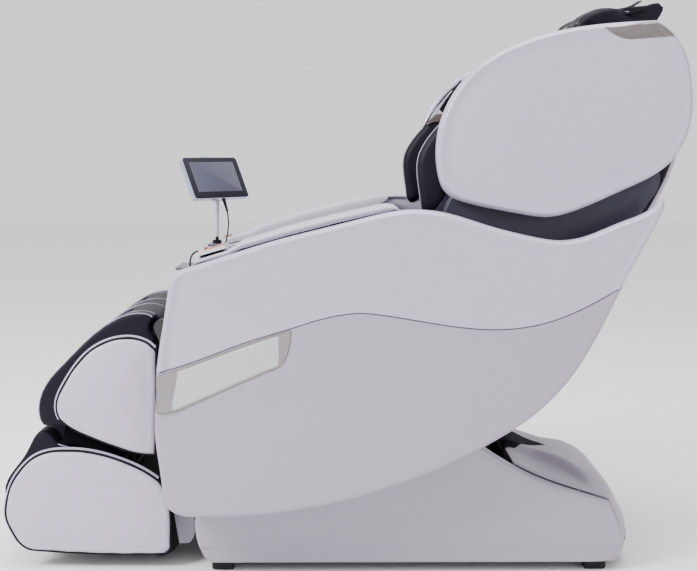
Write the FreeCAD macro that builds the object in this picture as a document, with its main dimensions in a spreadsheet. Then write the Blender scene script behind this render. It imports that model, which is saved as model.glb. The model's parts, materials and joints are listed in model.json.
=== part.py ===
"""Massage chair: rocking seat unit on a floor base, reclining back, leg unit and tablet remote.

Axes: +Z up, the sitter faces -X, the chair's left side is at -Y.
Origin: on the floor under the middle of the chair's outer box.  Millimetres.
"""
import FreeCAD, Part
import math
import os

Vector = FreeCAD.Vector
Placement = FreeCAD.Placement
Rotation = FreeCAD.Rotation

os.makedirs("parts", exist_ok=True)
document = FreeCAD.newDocument("MassageChair")

# ---------------------------------------------------------------- driving dimensions
DIMENSIONS = {
    # side shells of the seat unit
    "shell_outer": 413.5,
    "shell_depth": 14.5,
    "shell_skin": 4.0,
    "shell_return_inner": 270.0,
    "shell_underside_inner": 300.0,
    "badge_thickness": 1.5,
    "seam_gap": 1.5,
    # rocking track: centre of the arc and the radii measured from it
    "track_centre_x": -284.0,
    "track_centre_z": 1429.0,
    "track_outer_radius": 1215.0,
    "track_depth": 20.0,
    "shell_arc_radius": 1260.0,
    "track_roller_radius": 25.0,
    "track_roller_width": 20.0,
    "track_running_gap": 0.3,
    "track_roller_inner": 220.0,
    "front_roller_angle": 4.8,
    "rear_roller_angle": 23.0,
    "axle_radius": 8.0,
    "running_clearance": 0.05,
    # base
    "base_cover_inner": 250.0,
    "base_cover_outer": 290.0,
    "base_cover_arc_radius": 1250.0,
    "base_floor": 22.0,
    "base_half_width": 246.0,
    "pan_thickness": 6.0,
    "foot_length": 52.0,
    "foot_width": 40.0,
    # seat
    "frame_plate_inner": 228.0,
    "frame_plate_outer": 234.0,
    "rail_inner": 222.0,
    "rail_outer": 240.0,
    "recline_pivot_x": 215.0,
    "recline_pivot_z": 455.0,
    "back_angle": 59.0,
    "recline_pin_radius": 10.0,
    "calf_pivot_x": -405.0,
    "calf_pivot_z": 570.0,
    "leg_lean": 18.0,
    "calf_pin_radius": 9.0,
    "cushion_half_width": 249.0,
    "arm_pad_inner": 270.0,
    "arm_pad_outer": 396.0,
    "lining_inner": 256.0,
    "lining_outer": 268.0,
    "cross_tube_radius": 14.0,
    "actuator_pin_radius": 10.0,
    # controls
    "pod_slope": 16.0,
    "pod_length": 68.0,
    "pod_width": 84.0,
    "pod_thickness": 7.0,
    "key_length": 18.0,
    "key_width": 34.0,
    "key_height": 8.0,
    "key_gap": 0.5,
    "tablet_width": 196.0,
    "tablet_height": 122.0,
    "tablet_thickness": 14.0,
    "tablet_yaw": 47.5,
    "tablet_lean": 27.0,
    "cable_radius": 2.0,
    # backrest
    "wing_inner": 332.0,
    "wing_outer": 392.0,
    "wing_skin": 4.0,
    "wing_rim": 5.0,
    "wing_trim_thickness": 1.5,
    "back_rail_inner": 172.0,
    "back_rail_outer": 192.0,
    "back_rail_depth": 38.0,
    "back_pad_half_width": 281.0,
    "back_pad_thickness": 28.0,
    "rear_cover_half_width": 328.0,
    "cover_thickness": 4.0,
    "screw_radius": 8.0,
    "massage_wheel_radius": 28.0,
    "massage_wheel_width": 28.0,
    "massage_pin_radius": 5.0,
    # leg unit
    "leg_pad_half_width": 244.5,
    "leg_panel_inner": 245.0,
    "leg_panel_outer": 262.0,
    "leg_well_inner": 42.0,
    "leg_well_outer": 168.0,
    "slide_rod_radius": 8.0,
    "slide_sleeve_radius": 12.0,
    "slide_rod_offset": 22.0,
}

sheet = document.addObject("Spreadsheet::Sheet", "Sizes")
for row, (alias, size) in enumerate(DIMENSIONS.items(), start=1):
    sheet.set(f"A{row}", alias.replace("_", " "))
    sheet.set(f"B{row}", str(size))
    sheet.setAlias(f"B{row}", alias)
document.recompute()


class Sizes:
    """The driving dimensions as plain numbers."""


for alias, size in DIMENSIONS.items():
    setattr(Sizes, alias, size)

RECLINE_PIVOT = (Sizes.recline_pivot_x, Sizes.recline_pivot_z)
CALF_PIVOT = (Sizes.calf_pivot_x, Sizes.calf_pivot_z)
TRACK_CENTRE = (Sizes.track_centre_x, Sizes.track_centre_z)

UPRIGHT = Placement()
# Back frame: local +X runs up the backrest and local +Z points at the sitter.
BACK = Placement(
    Vector(RECLINE_PIVOT[0], 0, RECLINE_PIVOT[1]), Rotation(Vector(0, 1, 0), -Sizes.back_angle)
)
# Leg frame: local -Z runs down the calf and local -X points forwards.
LEG = Placement(
    Vector(CALF_PIVOT[0], 0, CALF_PIVOT[1]), Rotation(Vector(0, 1, 0), Sizes.leg_lean)
)

nodes = []


# ---------------------------------------------------------------- helpers
def formula(value):
    """A number or a formula of sheet cells, as an expression."""
    return value if isinstance(value, str) else f"{value:g}"


def bind(item, **links):
    """Bind properties of an object to sheet formulas."""
    for name, value in links.items():
        item.setExpression(name, formula(value))


def finish(item, label):
    """Name a finished sub-part and keep it for export."""
    item.Label = label
    nodes.append(item)
    return item


def box(name, size, corner, frame=UPRIGHT):
    item = document.addObject("Part::Box", name)
    bind(item, Length=size[0], Width=size[1], Height=size[2])
    item.Placement = frame * Placement(Vector(*corner), Rotation())
    return item


def rod(name, radius, length, start, direction, frame=UPRIGHT):
    """A cylinder from start along direction."""
    item = document.addObject("Part::Cylinder", name)
    bind(item, Radius=radius, Height=length)
    turn = Rotation(Vector(0, 0, 1), Vector(*direction))
    item.Placement = frame * Placement(Vector(*start), turn)
    return item


def cross_rod(name, radius, reach, place, frame=UPRIGHT):
    """A cylinder across the chair, between the two values of reach on Y."""
    start = (place[0], reach[0], place[1])
    return rod(name, radius, reach[1] - reach[0], start, (0, 1, 0), frame)


def fuse(name, shapes):
    item = document.addObject("Part::MultiFuse", name)
    item.Shapes = shapes
    item.Refine = True
    return item


def cut(name, base, tools):
    tool = tools[0]
    if len(tools) > 1:
        tool = fuse(name + "_tools", tools)
    item = document.addObject("Part::Cut", name)
    item.Base = base
    item.Tool = tool
    return item


def mirror(name, source):
    """The same piece on the other side of the chair."""
    item = document.addObject("Part::Mirroring", name)
    item.Source = source
    item.Normal = Vector(0, 1, 0)
    item.Base = Vector(0, 0, 0)
    return item


def group(name, shapes):
    """Several separate solids in one node."""
    item = document.addObject("Part::Compound", name)
    item.Links = shapes
    return item


def origin_plane(body, role):
    return [feature for feature in body.Origin.OriginFeatures if feature.Role == role][0]


def draw(sketch, runs):
    """Draw a closed outline: two points make a line, three an arc, more a smooth curve."""
    for run in runs:
        points = [Vector(x, z, 0) for x, z in run]
        if len(points) == 2:
            sketch.addGeometry(Part.LineSegment(points[0], points[1]))
        elif len(points) == 3:
            sketch.addGeometry(Part.ArcOfCircle(points[0], points[1], points[2]))
        else:
            curve = Part.BSplineCurve()
            curve.interpolate(points)
            sketch.addGeometry(curve)


def outline_sketch(body, name, runs):
    sketch = body.newObject("Sketcher::SketchObject", name)
    sketch.AttachmentSupport = (origin_plane(body, "XZ_Plane"), [""])
    sketch.MapMode = "FlatFace"
    draw(sketch, runs)
    return sketch


def plate(name, runs, low, high, frame=UPRIGHT):
    """An outline in the XZ plane padded between two places on Y (low is the smaller)."""
    low, high = formula(low), formula(high)
    body = document.addObject("PartDesign::Body", name)
    pad = body.newObject("PartDesign::Pad", name + "_pad")
    pad.Profile = outline_sketch(body, name + "_outline", runs)
    pad.setExpression("Length", f"({high}) - ({low})")
    body.Placement = frame
    body.setExpression("Placement.Base.y", high)
    return body


def hollow_plate(name, runs, low, high, skin, rim):
    """A moulded cover on the left side: a skin at its outer face with a rim turned inwards."""
    body = plate(name, runs, low, high)
    pocket = body.newObject("PartDesign::Pocket", name + "_pocket")
    pocket.Profile = outline_sketch(body, name + "_inside", inset(runs, rim))
    pocket.setExpression("Length", f"({formula(high)}) - ({formula(low)}) - ({formula(skin)})")
    pocket.Reversed = True
    return body


def inset(runs, distance):
    """The closed outline moved inwards by a wall's thickness."""
    points = [point for run in runs for point in run[:-1]]
    count = len(points)
    area = sum(
        points[i - 1][0] * points[i][1] - points[i][0] * points[i - 1][1] for i in range(count)
    )
    inwards = 1 if area > 0 else -1
    moved = []
    for i in range(count):
        before = Vector(*points[i], 0) - Vector(*points[i - 1], 0)
        after = Vector(*points[(i + 1) % count], 0) - Vector(*points[i], 0)
        before.normalize()
        after.normalize()
        bisector = before + after
        bisector.normalize()
        stretch = max(0.5, bisector.dot(after))
        normal = Vector(-bisector.y, bisector.x, 0) * (inwards * distance / stretch)
        moved.append((points[i][0] + normal.x, points[i][1] + normal.y))
    result = []
    start = 0
    for run in runs:
        result.append([moved[(start + i) % count] for i in range(len(run))])
        start += len(run) - 1
    return result


def sideways(points, distance):
    """The points moved to the left of the way they run (to the right if negative)."""
    moved = []
    for i, point in enumerate(points):
        before = points[max(i - 1, 0)]
        after = points[min(i + 1, len(points) - 1)]
        along = Vector(after[0] - before[0], after[1] - before[1], 0)
        along.normalize()
        moved.append((point[0] - along.y * distance, point[1] + along.x * distance))
    return moved


def strip(points, near, far):
    """The closed outline of a sheet that follows the points, between two distances from them."""
    first = sideways(points, near)
    second = sideways(points, far)
    second.reverse()
    return [first, [first[-1], second[0]], second, [second[-1], first[0]]]


def polygon(points):
    return [[points[i], points[(i + 1) % len(points)]] for i in range(len(points))]


def on_arc(radius, angle):
    """A point of an arc about the rocking centre, at an angle rearwards of straight down."""
    turn = math.radians(angle)
    return (
        TRACK_CENTRE[0] + radius * math.sin(turn),
        TRACK_CENTRE[1] - radius * math.cos(turn),
    )


def on_arc_at(radius, x):
    """The point of that arc at a place on X."""
    angle = math.degrees(math.asin((x - TRACK_CENTRE[0]) / radius))
    return on_arc(radius, angle)


def arc_run(radius, first, last):
    """A three-point run along an arc about the rocking centre, between two places on X."""
    middle = (first + last) / 2
    return [on_arc_at(radius, first), on_arc_at(radius, middle), on_arc_at(radius, last)]


def leg_point(down, forward):
    """A side-view point at a distance down the calf and forwards of its pivot line."""
    place = LEG.multVec(Vector(-forward, 0, -down))
    return (place.x, place.z)


def back_point(up, out):
    """A side-view point at a distance up the backrest and out towards the sitter."""
    place = BACK.multVec(Vector(up, 0, out))
    return (place.x, place.z)


def cord(label, points, radius):
    """A cable as straight runs joined by tangent arcs, as large as the runs allow."""
    points = [Vector(*point) for point in points]
    edges = []
    bends = []
    last = points[0]
    for i in range(1, len(points) - 1):
        arrive = points[i] - points[i - 1]
        leave = points[i + 1] - points[i]
        turn = arrive.getAngle(leave)
        bend = 0.45 * min(arrive.Length, leave.Length) / math.tan(turn / 2)
        reach = bend * math.tan(turn / 2)
        arrive.normalize()
        leave.normalize()
        first = points[i] - arrive * reach
        end = points[i] + leave * reach
        inwards = leave - arrive
        inwards.normalize()
        middle = points[i] + inwards * (bend / math.cos(turn / 2) - bend)
        edges.append(Part.LineSegment(last, first).toShape())
        edges.append(Part.Arc(first, middle, end).toShape())
        bends.append(round(bend, 1))
        last = end
    edges.append(Part.LineSegment(last, points[-1]).toShape())
    path = Part.Wire(edges)
    tangent = points[1] - points[0]
    section = Part.Wire([Part.makeCircle(radius, points[0], tangent)])
    item = document.addObject("Part::Feature", label)
    item.Shape = path.makePipeShell([section], True, False)
    expected = math.pi * radius**2 * path.Length
    print(label, "length", round(path.Length, 1), "bend radii", bends)
    print(label, "volume over section times length", round(item.Shape.Volume / expected, 4))
    return finish(item, label)


# ---------------------------------------------------------------- outlines that pieces share
SEAM = [
    (-394, 492), (-334, 510), (-251, 541), (-176, 568), (-96, 592), (-43, 609), (10, 621),
    (52, 625), (99, 621), (215, 602), (336, 589), (452, 602), (561, 647), (624, 682),
]
SHELL_TOP = [
    (-337, 720), (-255, 745), (-129, 784), (-22, 811), (85, 838), (135, 848), (181, 850),
    (238, 843), (321, 818), (427, 791), (488, 783), (531, 789), (618, 823), (689, 858), (704, 879),
]
WING_OUTLINE = [
    [(227, 909), (218, 978), (239, 1070), (299, 1152), (399, 1210), (572, 1248), (691, 1256)],
    [(691, 1256), (711, 1244), (750, 1200), (772.2, 1120), (772.2, 1040), (735, 957), (624, 889),
     (510, 841), (471, 832), (404, 838), (294, 860), (243, 882), (227, 909)],
]
SHELL_REAR_LOW = [(624, 680), (574, 577), (522, 489), (446, 405)]
BOTTOM_FRONT_X = -321
BOTTOM_REAR_X = 396
FRONT_LOW = [(-355, 176), (-375, 191), (-385, 234), (-399, 361), (-396, 430), (-394, 489)]
FRONT_HIGH = [(-394, 495), (-384, 563), (-373, 626), (-359, 693), (-350, 710)]
FOLD_STEP = 0.6


def shifted(points, rise):
    return [(x, z + rise) for x, z in points]


# ---------------------------------------------------------------- base
def roller_place(angle):
    radius = Sizes.track_outer_radius + Sizes.track_running_gap + Sizes.track_roller_radius
    return on_arc(radius, angle)


def make_base_frame():
    """The floor pan with four upright bearing plates for the track rollers."""
    pan_top = Sizes.base_floor + Sizes.pan_thickness
    pan = box(
        "pan",
        (920, "2*Sizes.base_half_width", "Sizes.pan_thickness"),
        (-285, -Sizes.base_half_width, Sizes.base_floor),
    )
    solids = [pan]
    bores = []
    for end, angle in (("front", Sizes.front_roller_angle), ("rear", Sizes.rear_roller_angle)):
        x, z = roller_place(angle)
        outline = polygon(
            [(x - 55, pan_top - 2), (x + 55, pan_top - 2), (x + 18, z + 16), (x - 18, z + 16)]
        )
        left = plate(f"bearing_plate_{end}", outline, -213, -205)
        solids += [left, mirror(f"bearing_plate_{end}_right", left)]
        bores.append(
            cross_rod(
                f"bearing_bore_{end}", "Sizes.axle_radius + Sizes.running_clearance",
                (-216, 216), (x, z),
            )
        )
    finish(cut("base_frame", fuse("base_frame_solids", solids), bores), "base_frame")


def make_base_covers():
    """The two moulded side covers: their tops follow the rocking arc, then fall to the rear."""
    arc = Sizes.base_cover_arc_radius
    outline = [
        [(-302, 31), (-314, 52), (-324, 86), (-327, 122), (-321, 158)],
        [(-321, 158), (-315, 166)],
        [(-315, 166), on_arc_at(arc, -315)],
        arc_run(arc, -315, 300),
        [on_arc_at(arc, 300), (338, 295), (387, 263), (450, 228), (530, 197), (635, 163)],
        [(635, 163), (652, 124), (664, 92), (669, 76)],
        [(669, 76), (665, 51), (650, 24)],
        [(650, 24), (-292, 24)],
        [(-292, 24), (-302, 31)],
    ]
    left = hollow_plate(
        "base_cover_left", outline, "-Sizes.base_cover_outer", "-Sizes.base_cover_inner",
        "Sizes.cover_thickness", Sizes.cover_thickness,
    )
    finish(left, "base_cover_left")
    finish(mirror("base_cover_right", left), "base_cover_right")


INLET_Y = -170
SWITCH_Y = -120
INLET_Z = 46
REAR_FACE_X = 694


def make_base_rear_cover():
    """The rear hood between the side covers, with cut-outs for the inlet and the switch."""
    hood = [
        (432, 120), (408, 240), (425, 262), (480, 241), (560, 223), (639, 188), (668, 148),
        (REAR_FACE_X, 96),
    ]
    outline = strip(hood, 0, -Sizes.cover_thickness)
    body = plate("rear_hood", outline, "-Sizes.base_half_width", "Sizes.base_half_width")
    tail = box(
        "rear_tail", ("Sizes.cover_thickness", "2*Sizes.base_half_width", 73),
        (REAR_FACE_X - Sizes.cover_thickness, -Sizes.base_half_width, 24),
    )
    windows = [
        box("inlet_window", (20, 29, 23), (REAR_FACE_X - 10, INLET_Y - 0.5, INLET_Z - 0.5)),
        box("switch_window", (20, 23, 17), (REAR_FACE_X - 10, SWITCH_Y - 0.5, INLET_Z - 0.5)),
    ]
    finish(cut("base_rear_cover", fuse("rear_solids", [body, tail]), windows), "base_rear_cover")


def make_power_inlet():
    """The mains inlet socket: a flanged block with a socket and three contact blades."""
    block = box("inlet_block", (26, 28, 22), (REAR_FACE_X - 26, INLET_Y, INLET_Z))
    flange = box("inlet_flange", (2, 36, 30), (REAR_FACE_X + 0.1, INLET_Y - 4, INLET_Z - 4))
    neck = box("inlet_neck", (0.3, 28, 22), (REAR_FACE_X - 0.1, INLET_Y, INLET_Z))
    socket = box("inlet_socket", (18, 24, 16), (REAR_FACE_X - 15.5, INLET_Y + 2, INLET_Z + 3))
    shell = cut("inlet_shell", fuse("inlet_solids", [block, neck, flange]), [socket])
    blades = [
        box(f"inlet_blade_{i}", (12, 2, 5), (REAR_FACE_X - 16, INLET_Y + 6 + 7 * i, INLET_Z + 8))
        for i in range(3)
    ]
    finish(fuse("power_inlet", [shell] + blades), "power_inlet")


def make_power_switch():
    """The mains rocker, which turns about a pivot line across its middle."""
    x = REAR_FACE_X - 6
    rocker = box("rocker", (9, 21, 15), (x, SWITCH_Y + 0.5, INLET_Z + 0.5))
    finish(rocker, "power_switch")


def make_rubber_feet():
    feet = []
    for x in (-292, 580):
        for side in (-1, 1):
            low = 222 if side > 0 else -222 - Sizes.foot_width
            place = (x, low, 0)
            feet.append(
                box(
                    f"foot_{len(feet)}",
                    ("Sizes.foot_length", "Sizes.foot_width", "Sizes.base_floor"), place,
                )
            )
    finish(group("rubber_feet", feet), "rubber_feet")


def make_track_rollers():
    """The driven front axle, a tubular gear motor, and the two rear rollers on stub axles."""
    inner = Sizes.track_roller_inner
    outer = inner + Sizes.track_roller_width
    front = roller_place(Sizes.front_roller_angle)
    rear = roller_place(Sizes.rear_roller_angle)
    parts = [
        cross_rod("motor_tube", 20, (-200, 200), front),
        cross_rod("drive_shaft", "Sizes.axle_radius", (-outer, outer), front),
    ]
    for side in (-1, 1):
        reach = sorted((side * inner, side * outer))
        parts.append(cross_rod(f"drive_roller_{side + 1}", "Sizes.track_roller_radius", reach, front))
    finish(fuse("drive_axle", parts), "drive_axle")
    stubs = []
    for side in (-1, 1):
        reach = sorted((side * inner, side * outer))
        stub_reach = sorted((side * 201, side * outer))
        wheel = cross_rod(f"idle_wheel_{side + 1}", "Sizes.track_roller_radius", reach, rear)
        stub = cross_rod(f"idle_stub_{side + 1}", "Sizes.axle_radius", stub_reach, rear)
        stubs.append(fuse(f"idle_roller_{side + 1}", [wheel, stub]))
    finish(group("rear_track_rollers", stubs), "rear_track_rollers")


# ---------------------------------------------------------------- seat unit
LEG_ACTUATOR_PIN = (-120, 440)
BACK_ACTUATOR_PIN = (-150, 360)
LEG_LEVER_PIN = (-400, 496)
BACK_LEVER_PIN = back_point(-60, -60)
LEG_EYE_SHIFT = (2.1, 5.4)
OUTRIGGERS = ((-300, 462), (100, 470), (235, 410))


def make_seat_frame():
    """Two steel side plates with arc rails, joined by cross tubes, with the pivot pins."""
    outer_radius = Sizes.track_outer_radius
    inner_radius = outer_radius - Sizes.track_depth
    first, last = on_arc(outer_radius, 2)[0], on_arc(outer_radius, 33)[0]
    web = [
        arc_run(outer_radius - 2, first, last),
        [on_arc_at(outer_radius - 2, last), on_arc(inner_radius, 33)],
        [on_arc(inner_radius, 33), (300, 428)],
        [(300, 428), (245, 440)],
        [(245, 440), (238, 466)],
        [(238, 466), (222, 481), (200, 482)],
        [(200, 482), (170, 527)],
        [(170, 527), (-375, 527)],
        [(-375, 527), (-388, 560)],
        [(-388, 560), (-405, 588), (-423, 568)],
        [(-423, 568), (-410, 535)],
        [(-410, 535), (-385, 430)],
        [(-385, 430), (-252, 262)],
        [(-252, 262), on_arc_at(outer_radius - 2, first)],
    ]
    rail = [
        arc_run(outer_radius, first, last),
        [on_arc(outer_radius, 33), on_arc(inner_radius, 33)],
        [on_arc(inner_radius, 33), on_arc(inner_radius, 17.5), on_arc(inner_radius, 2)],
        [on_arc(inner_radius, 2), on_arc(outer_radius, 2)],
    ]
    left = [
        plate("web_left", web, "-Sizes.frame_plate_outer", "-Sizes.frame_plate_inner"),
        plate("rail_left", rail, "-Sizes.rail_outer", "-Sizes.rail_inner"),
        cross_rod("recline_pin", "Sizes.recline_pin_radius", (-230, -180), RECLINE_PIVOT),
        cross_rod("calf_pin", "Sizes.calf_pin_radius", (-230, -204), CALF_PIVOT),
    ]
    shell_inside = Sizes.shell_outer - Sizes.shell_skin
    for i, place in enumerate(OUTRIGGERS):
        left.append(cross_rod(f"outrigger_{i}", 12, (-shell_inside, -230), place))
    right = [mirror(item.Name + "_right", item) for item in left]
    across = [
        cross_rod("front_tube", "Sizes.cross_tube_radius", (-230, 230), (-350, 430)),
        cross_rod("rear_tube", "Sizes.cross_tube_radius", (-230, 230), (120, 440)),
        cross_rod("leg_actuator_tube", "Sizes.actuator_pin_radius", (-230, 230), LEG_ACTUATOR_PIN),
        cross_rod("back_actuator_tube", "Sizes.actuator_pin_radius", (-230, 230), BACK_ACTUATOR_PIN),
    ]
    finish(fuse("seat_frame", left + right + across), "seat_frame")


def make_side_shells():
    """The upper and lower moulded sides, with a shadow gap between them and returned edges."""
    depth = ("-Sizes.shell_outer", "-(Sizes.shell_outer - Sizes.shell_depth)")
    returned = ("-(Sizes.shell_outer - Sizes.shell_depth + 1)", "-Sizes.shell_return_inner")
    half_gap = Sizes.seam_gap / 2
    upper_seam = shifted(SEAM, half_gap)
    upper_seam.reverse()
    upper = [
        SHELL_TOP,
        [(704, 879), (710, 868), (711, 852)],
        [(711, 852), (697, 821), (663, 756), upper_seam[0]],
        upper_seam,
        [upper_seam[-1], *FRONT_HIGH[1:-1], (-350, 712)],
        [(-350, 712), (-337, 720)],
    ]
    skin = hollow_plate("side_upper_skin", upper, *depth, "Sizes.shell_skin", 5)
    fold = (-FOLD_STEP, -FOLD_STEP - Sizes.shell_skin)
    face = plate("side_upper_front", strip(FRONT_HIGH, *fold), *returned)
    left = fuse("side_upper_left", [skin, face])
    finish(left, "side_upper_left")
    finish(mirror("side_upper_right", left), "side_upper_right")

    lower_seam = shifted(SEAM, -half_gap)
    arc = Sizes.shell_arc_radius
    rear_corner, front_corner = on_arc_at(arc, BOTTOM_REAR_X), on_arc_at(arc, BOTTOM_FRONT_X)
    lower = [
        lower_seam,
        [lower_seam[-1], *SHELL_REAR_LOW[1:], rear_corner],
        arc_run(arc, BOTTOM_REAR_X, BOTTOM_FRONT_X),
        [front_corner, *FRONT_LOW[:-1], lower_seam[0]],
    ]
    skin = hollow_plate("side_lower_skin", lower, *depth, "Sizes.shell_skin", 5)
    front = plate("side_lower_front", strip([front_corner] + FRONT_LOW, *fold), *returned)
    low_arc = arc - FOLD_STEP
    inner_arc = low_arc - Sizes.shell_skin
    belly = [
        arc_run(low_arc, BOTTOM_FRONT_X, BOTTOM_REAR_X - 2),
        [on_arc_at(low_arc, BOTTOM_REAR_X - 2), on_arc_at(inner_arc, BOTTOM_REAR_X - 2)],
        arc_run(inner_arc, BOTTOM_REAR_X - 2, BOTTOM_FRONT_X),
        [on_arc_at(inner_arc, BOTTOM_FRONT_X), on_arc_at(low_arc, BOTTOM_FRONT_X)],
    ]
    underside = plate(
        "side_lower_belly", belly, returned[0], "-Sizes.shell_underside_inner"
    )
    left = fuse("side_lower_left", [skin, front, underside])
    finish(left, "side_lower_left")
    finish(mirror("side_lower_right", left), "side_lower_right")


def make_badge_plates():
    """The blank metal-look plate under the seam at each side's front."""
    outline = [
        [(-392, 487), (-334, 506), (-251, 537), (-176, 564), (-98, 588)],
        [(-98, 588), (-101, 556), (-121, 511), (-146, 499)],
        [(-146, 499), (-341, 413)],
        [(-341, 413), (-366, 407), (-392, 405)],
        [(-392, 405), (-392, 487)],
    ]
    left = plate(
        "badge_left", outline, "-(Sizes.shell_outer + Sizes.badge_thickness)", "-Sizes.shell_outer"
    )
    finish(group("badge_plates", [left, mirror("badge_right", left)]), "badge_plates")


def make_arms():
    """The soft arm pads and the inner linings of the arms."""
    pad = [
        [(-312, 722), (-309, 735), (-300, 741)],
        [(-300, 741), (-236, 761)],
        [(-236, 761), (-205, 781), (-100, 811), (0, 836), (109, 859)],
        [(109, 859), (124, 857), (138, 849)],
        [(138, 849), (110, 827)],
        [(110, 827), (-100, 774), (-240, 738), (-312, 722)],
    ]
    left = plate("arm_pad_left", pad, "-Sizes.arm_pad_outer", "-Sizes.arm_pad_inner")
    finish(left, "arm_pad_left")
    finish(mirror("arm_pad_right", left), "arm_pad_right")
    lining = [
        [(-383, 500), (-372, 610), (-345, 700)],
        [(-345, 700), (-312, 720)],
        [(-312, 720), (-240, 736), (-100, 772), (110, 825)],
        [(110, 825), (150, 815)],
        [(150, 815), (186, 530)],
        [(186, 530), (186, 500)],
        [(186, 500), (-383, 500)],
    ]
    left = plate("arm_lining_left", lining, "-Sizes.lining_outer", "-Sizes.lining_inner")
    finish(group("arm_linings", [left, mirror("arm_lining_right", left)]), "arm_linings")


def make_seat_cushion():
    outline = [
        [(-370, 528), (-374, 562), (-366, 592), (-345, 604)],
        [(-345, 604), (-200, 602), (0, 590), (150, 578)],
        [(150, 578), (178, 568), (188, 545)],
        [(188, 545), (186, 528)],
        [(186, 528), (-370, 528)],
    ]
    body = plate(
        "seat_cushion", outline, "-Sizes.cushion_half_width", "Sizes.cushion_half_width"
    )
    finish(body, "seat_cushion")


FRONT_PLATE_TOP = 724


def make_arm_front_plates():
    """The flat plate ahead of each arm pad; the right one carries the tablet post."""
    left = box("front_plate_left", (36, 121, 6), (-349, -396, FRONT_PLATE_TOP - 6))
    finish(
        group("arm_front_plates", [left, mirror("front_plate_right", left)]), "arm_front_plates"
    )


POD_FRONT = (-306, 746)
POD_MIDDLE_Y = -342
POD = Placement(
    Vector(POD_FRONT[0], POD_MIDDLE_Y, POD_FRONT[1]),
    Rotation(Vector(0, 1, 0), -Sizes.pod_slope),
)
KEY_STARTS = {"key_back": 24.0, "key_legs": 45.0}
POD_SOCKET_Y = -28


def make_control_pod():
    """The sloping control plate on the left arm, with two key windows and a cable socket."""
    half = Sizes.pod_width / 2
    panel = box(
        "pod_panel", ("Sizes.pod_length", "Sizes.pod_width", "Sizes.pod_thickness"),
        (0, -half, 0), POD,
    )
    pedestal = box("pod_pedestal", (54, 60, 4.5), (7, -30, -4), POD)
    socket = box("pod_socket", (12, 12, 7), (8, POD_SOCKET_Y - 6, 6), POD)
    windows = []
    for name, start in KEY_STARTS.items():
        gap = Sizes.key_gap
        windows.append(
            box(
                name + "_window",
                ("Sizes.key_length + 2*Sizes.key_gap", "Sizes.key_width + 2*Sizes.key_gap", 20),
                (start - gap, -Sizes.key_width / 2 - gap, -5), POD,
            )
        )
    solids = fuse("pod_solids", [panel, pedestal, socket])
    finish(cut("control_pod", solids, windows), "control_pod")


def make_keys():
    """The rocker keys; each tips about a line across its middle."""
    for name, start in KEY_STARTS.items():
        blank = box(
            name + "_blank", ("Sizes.key_length", "Sizes.key_width", "Sizes.key_height"),
            (start, -Sizes.key_width / 2, 2), POD,
        )
        dish = rod(
            name + "_dish", 40, 60, (start + Sizes.key_length / 2, -30, 48.8), (0, 1, 0), POD
        )
        finish(cut(name, blank, [dish]), name)


# ---------------------------------------------------------------- tablet remote
TABLET = Placement(
    Vector(-328.7, 318, 903.2),
    Rotation(Vector(0, 0, 1), Sizes.tablet_yaw)
    * Rotation(Vector(1, 0, 0), -Sizes.tablet_lean),
)
HINGE_LOCAL = Vector(0, 22, -52)
HINGE = TABLET.multVec(HINGE_LOCAL)
POST_FOOT = Vector(-329, 334, FRONT_PLATE_TOP)
BARREL_LENGTH = 24
EAR_GAP = 0.4


def make_tablet_post():
    """The post turns on its foot and carries the hinge barrel and pin of the tablet."""
    foot = rod("post_foot", 12, 8, (POST_FOOT.x, POST_FOOT.y, POST_FOOT.z + 0.4), (0, 0, 1))
    start = POST_FOOT + Vector(0, 0, 6)
    axis = HINGE - start
    column = document.addObject("Part::Cone", "post_column")
    bind(column, Radius1=4.5, Radius2=6, Height=axis.Length)
    column.Placement = Placement(start, Rotation(Vector(0, 0, 1), axis))
    half = BARREL_LENGTH / 2
    barrel = rod("post_barrel", 6.5, BARREL_LENGTH, (-half, 22, -52), (1, 0, 0), TABLET)
    pin = rod("post_pin", 3, 38, (-19, 22, -52), (1, 0, 0), TABLET)
    finish(fuse("tablet_post", [foot, column, barrel, pin]), "tablet_post")


def make_tablet_case():
    """The tablet's housing with two hinge ears at its lower back."""
    half = Sizes.tablet_width / 2
    slab = box(
        "tablet_slab", ("Sizes.tablet_width", "Sizes.tablet_thickness", "Sizes.tablet_height"),
        (-half, 0, -Sizes.tablet_height / 2), TABLET,
    )
    rounded = document.addObject("Part::Fillet", "tablet_rounded")
    rounded.Base = slab
    document.recompute()
    corners = []
    for index, edge in enumerate(slab.Shape.Edges, start=1):
        ends = [TABLET.inverse().multVec(vertex.Point) for vertex in edge.Vertexes]
        if abs(ends[0].y - ends[1].y) > 1:
            corners.append((index, 10.0, 10.0))
    rounded.Edges = corners
    ears = []
    for side in (-1, 1):
        low = BARREL_LENGTH / 2 + EAR_GAP if side > 0 else -BARREL_LENGTH / 2 - EAR_GAP - 6
        ears.append(box(f"tablet_ear_{side + 1}", (6, 16, 14), (low, 13, -59), TABLET))
    clip = box("tablet_clip", (22, 6, 3), (-11, 4, 60), TABLET)
    bore = rod("tablet_bore", 3.05, 60, (-30, 22, -52), (1, 0, 0), TABLET)
    solids = fuse("tablet_solids", [rounded, clip] + ears)
    finish(cut("tablet_case", solids, [bore]), "tablet_case")


CABLE_EXIT = Vector(-297, 300, 812)


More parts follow.
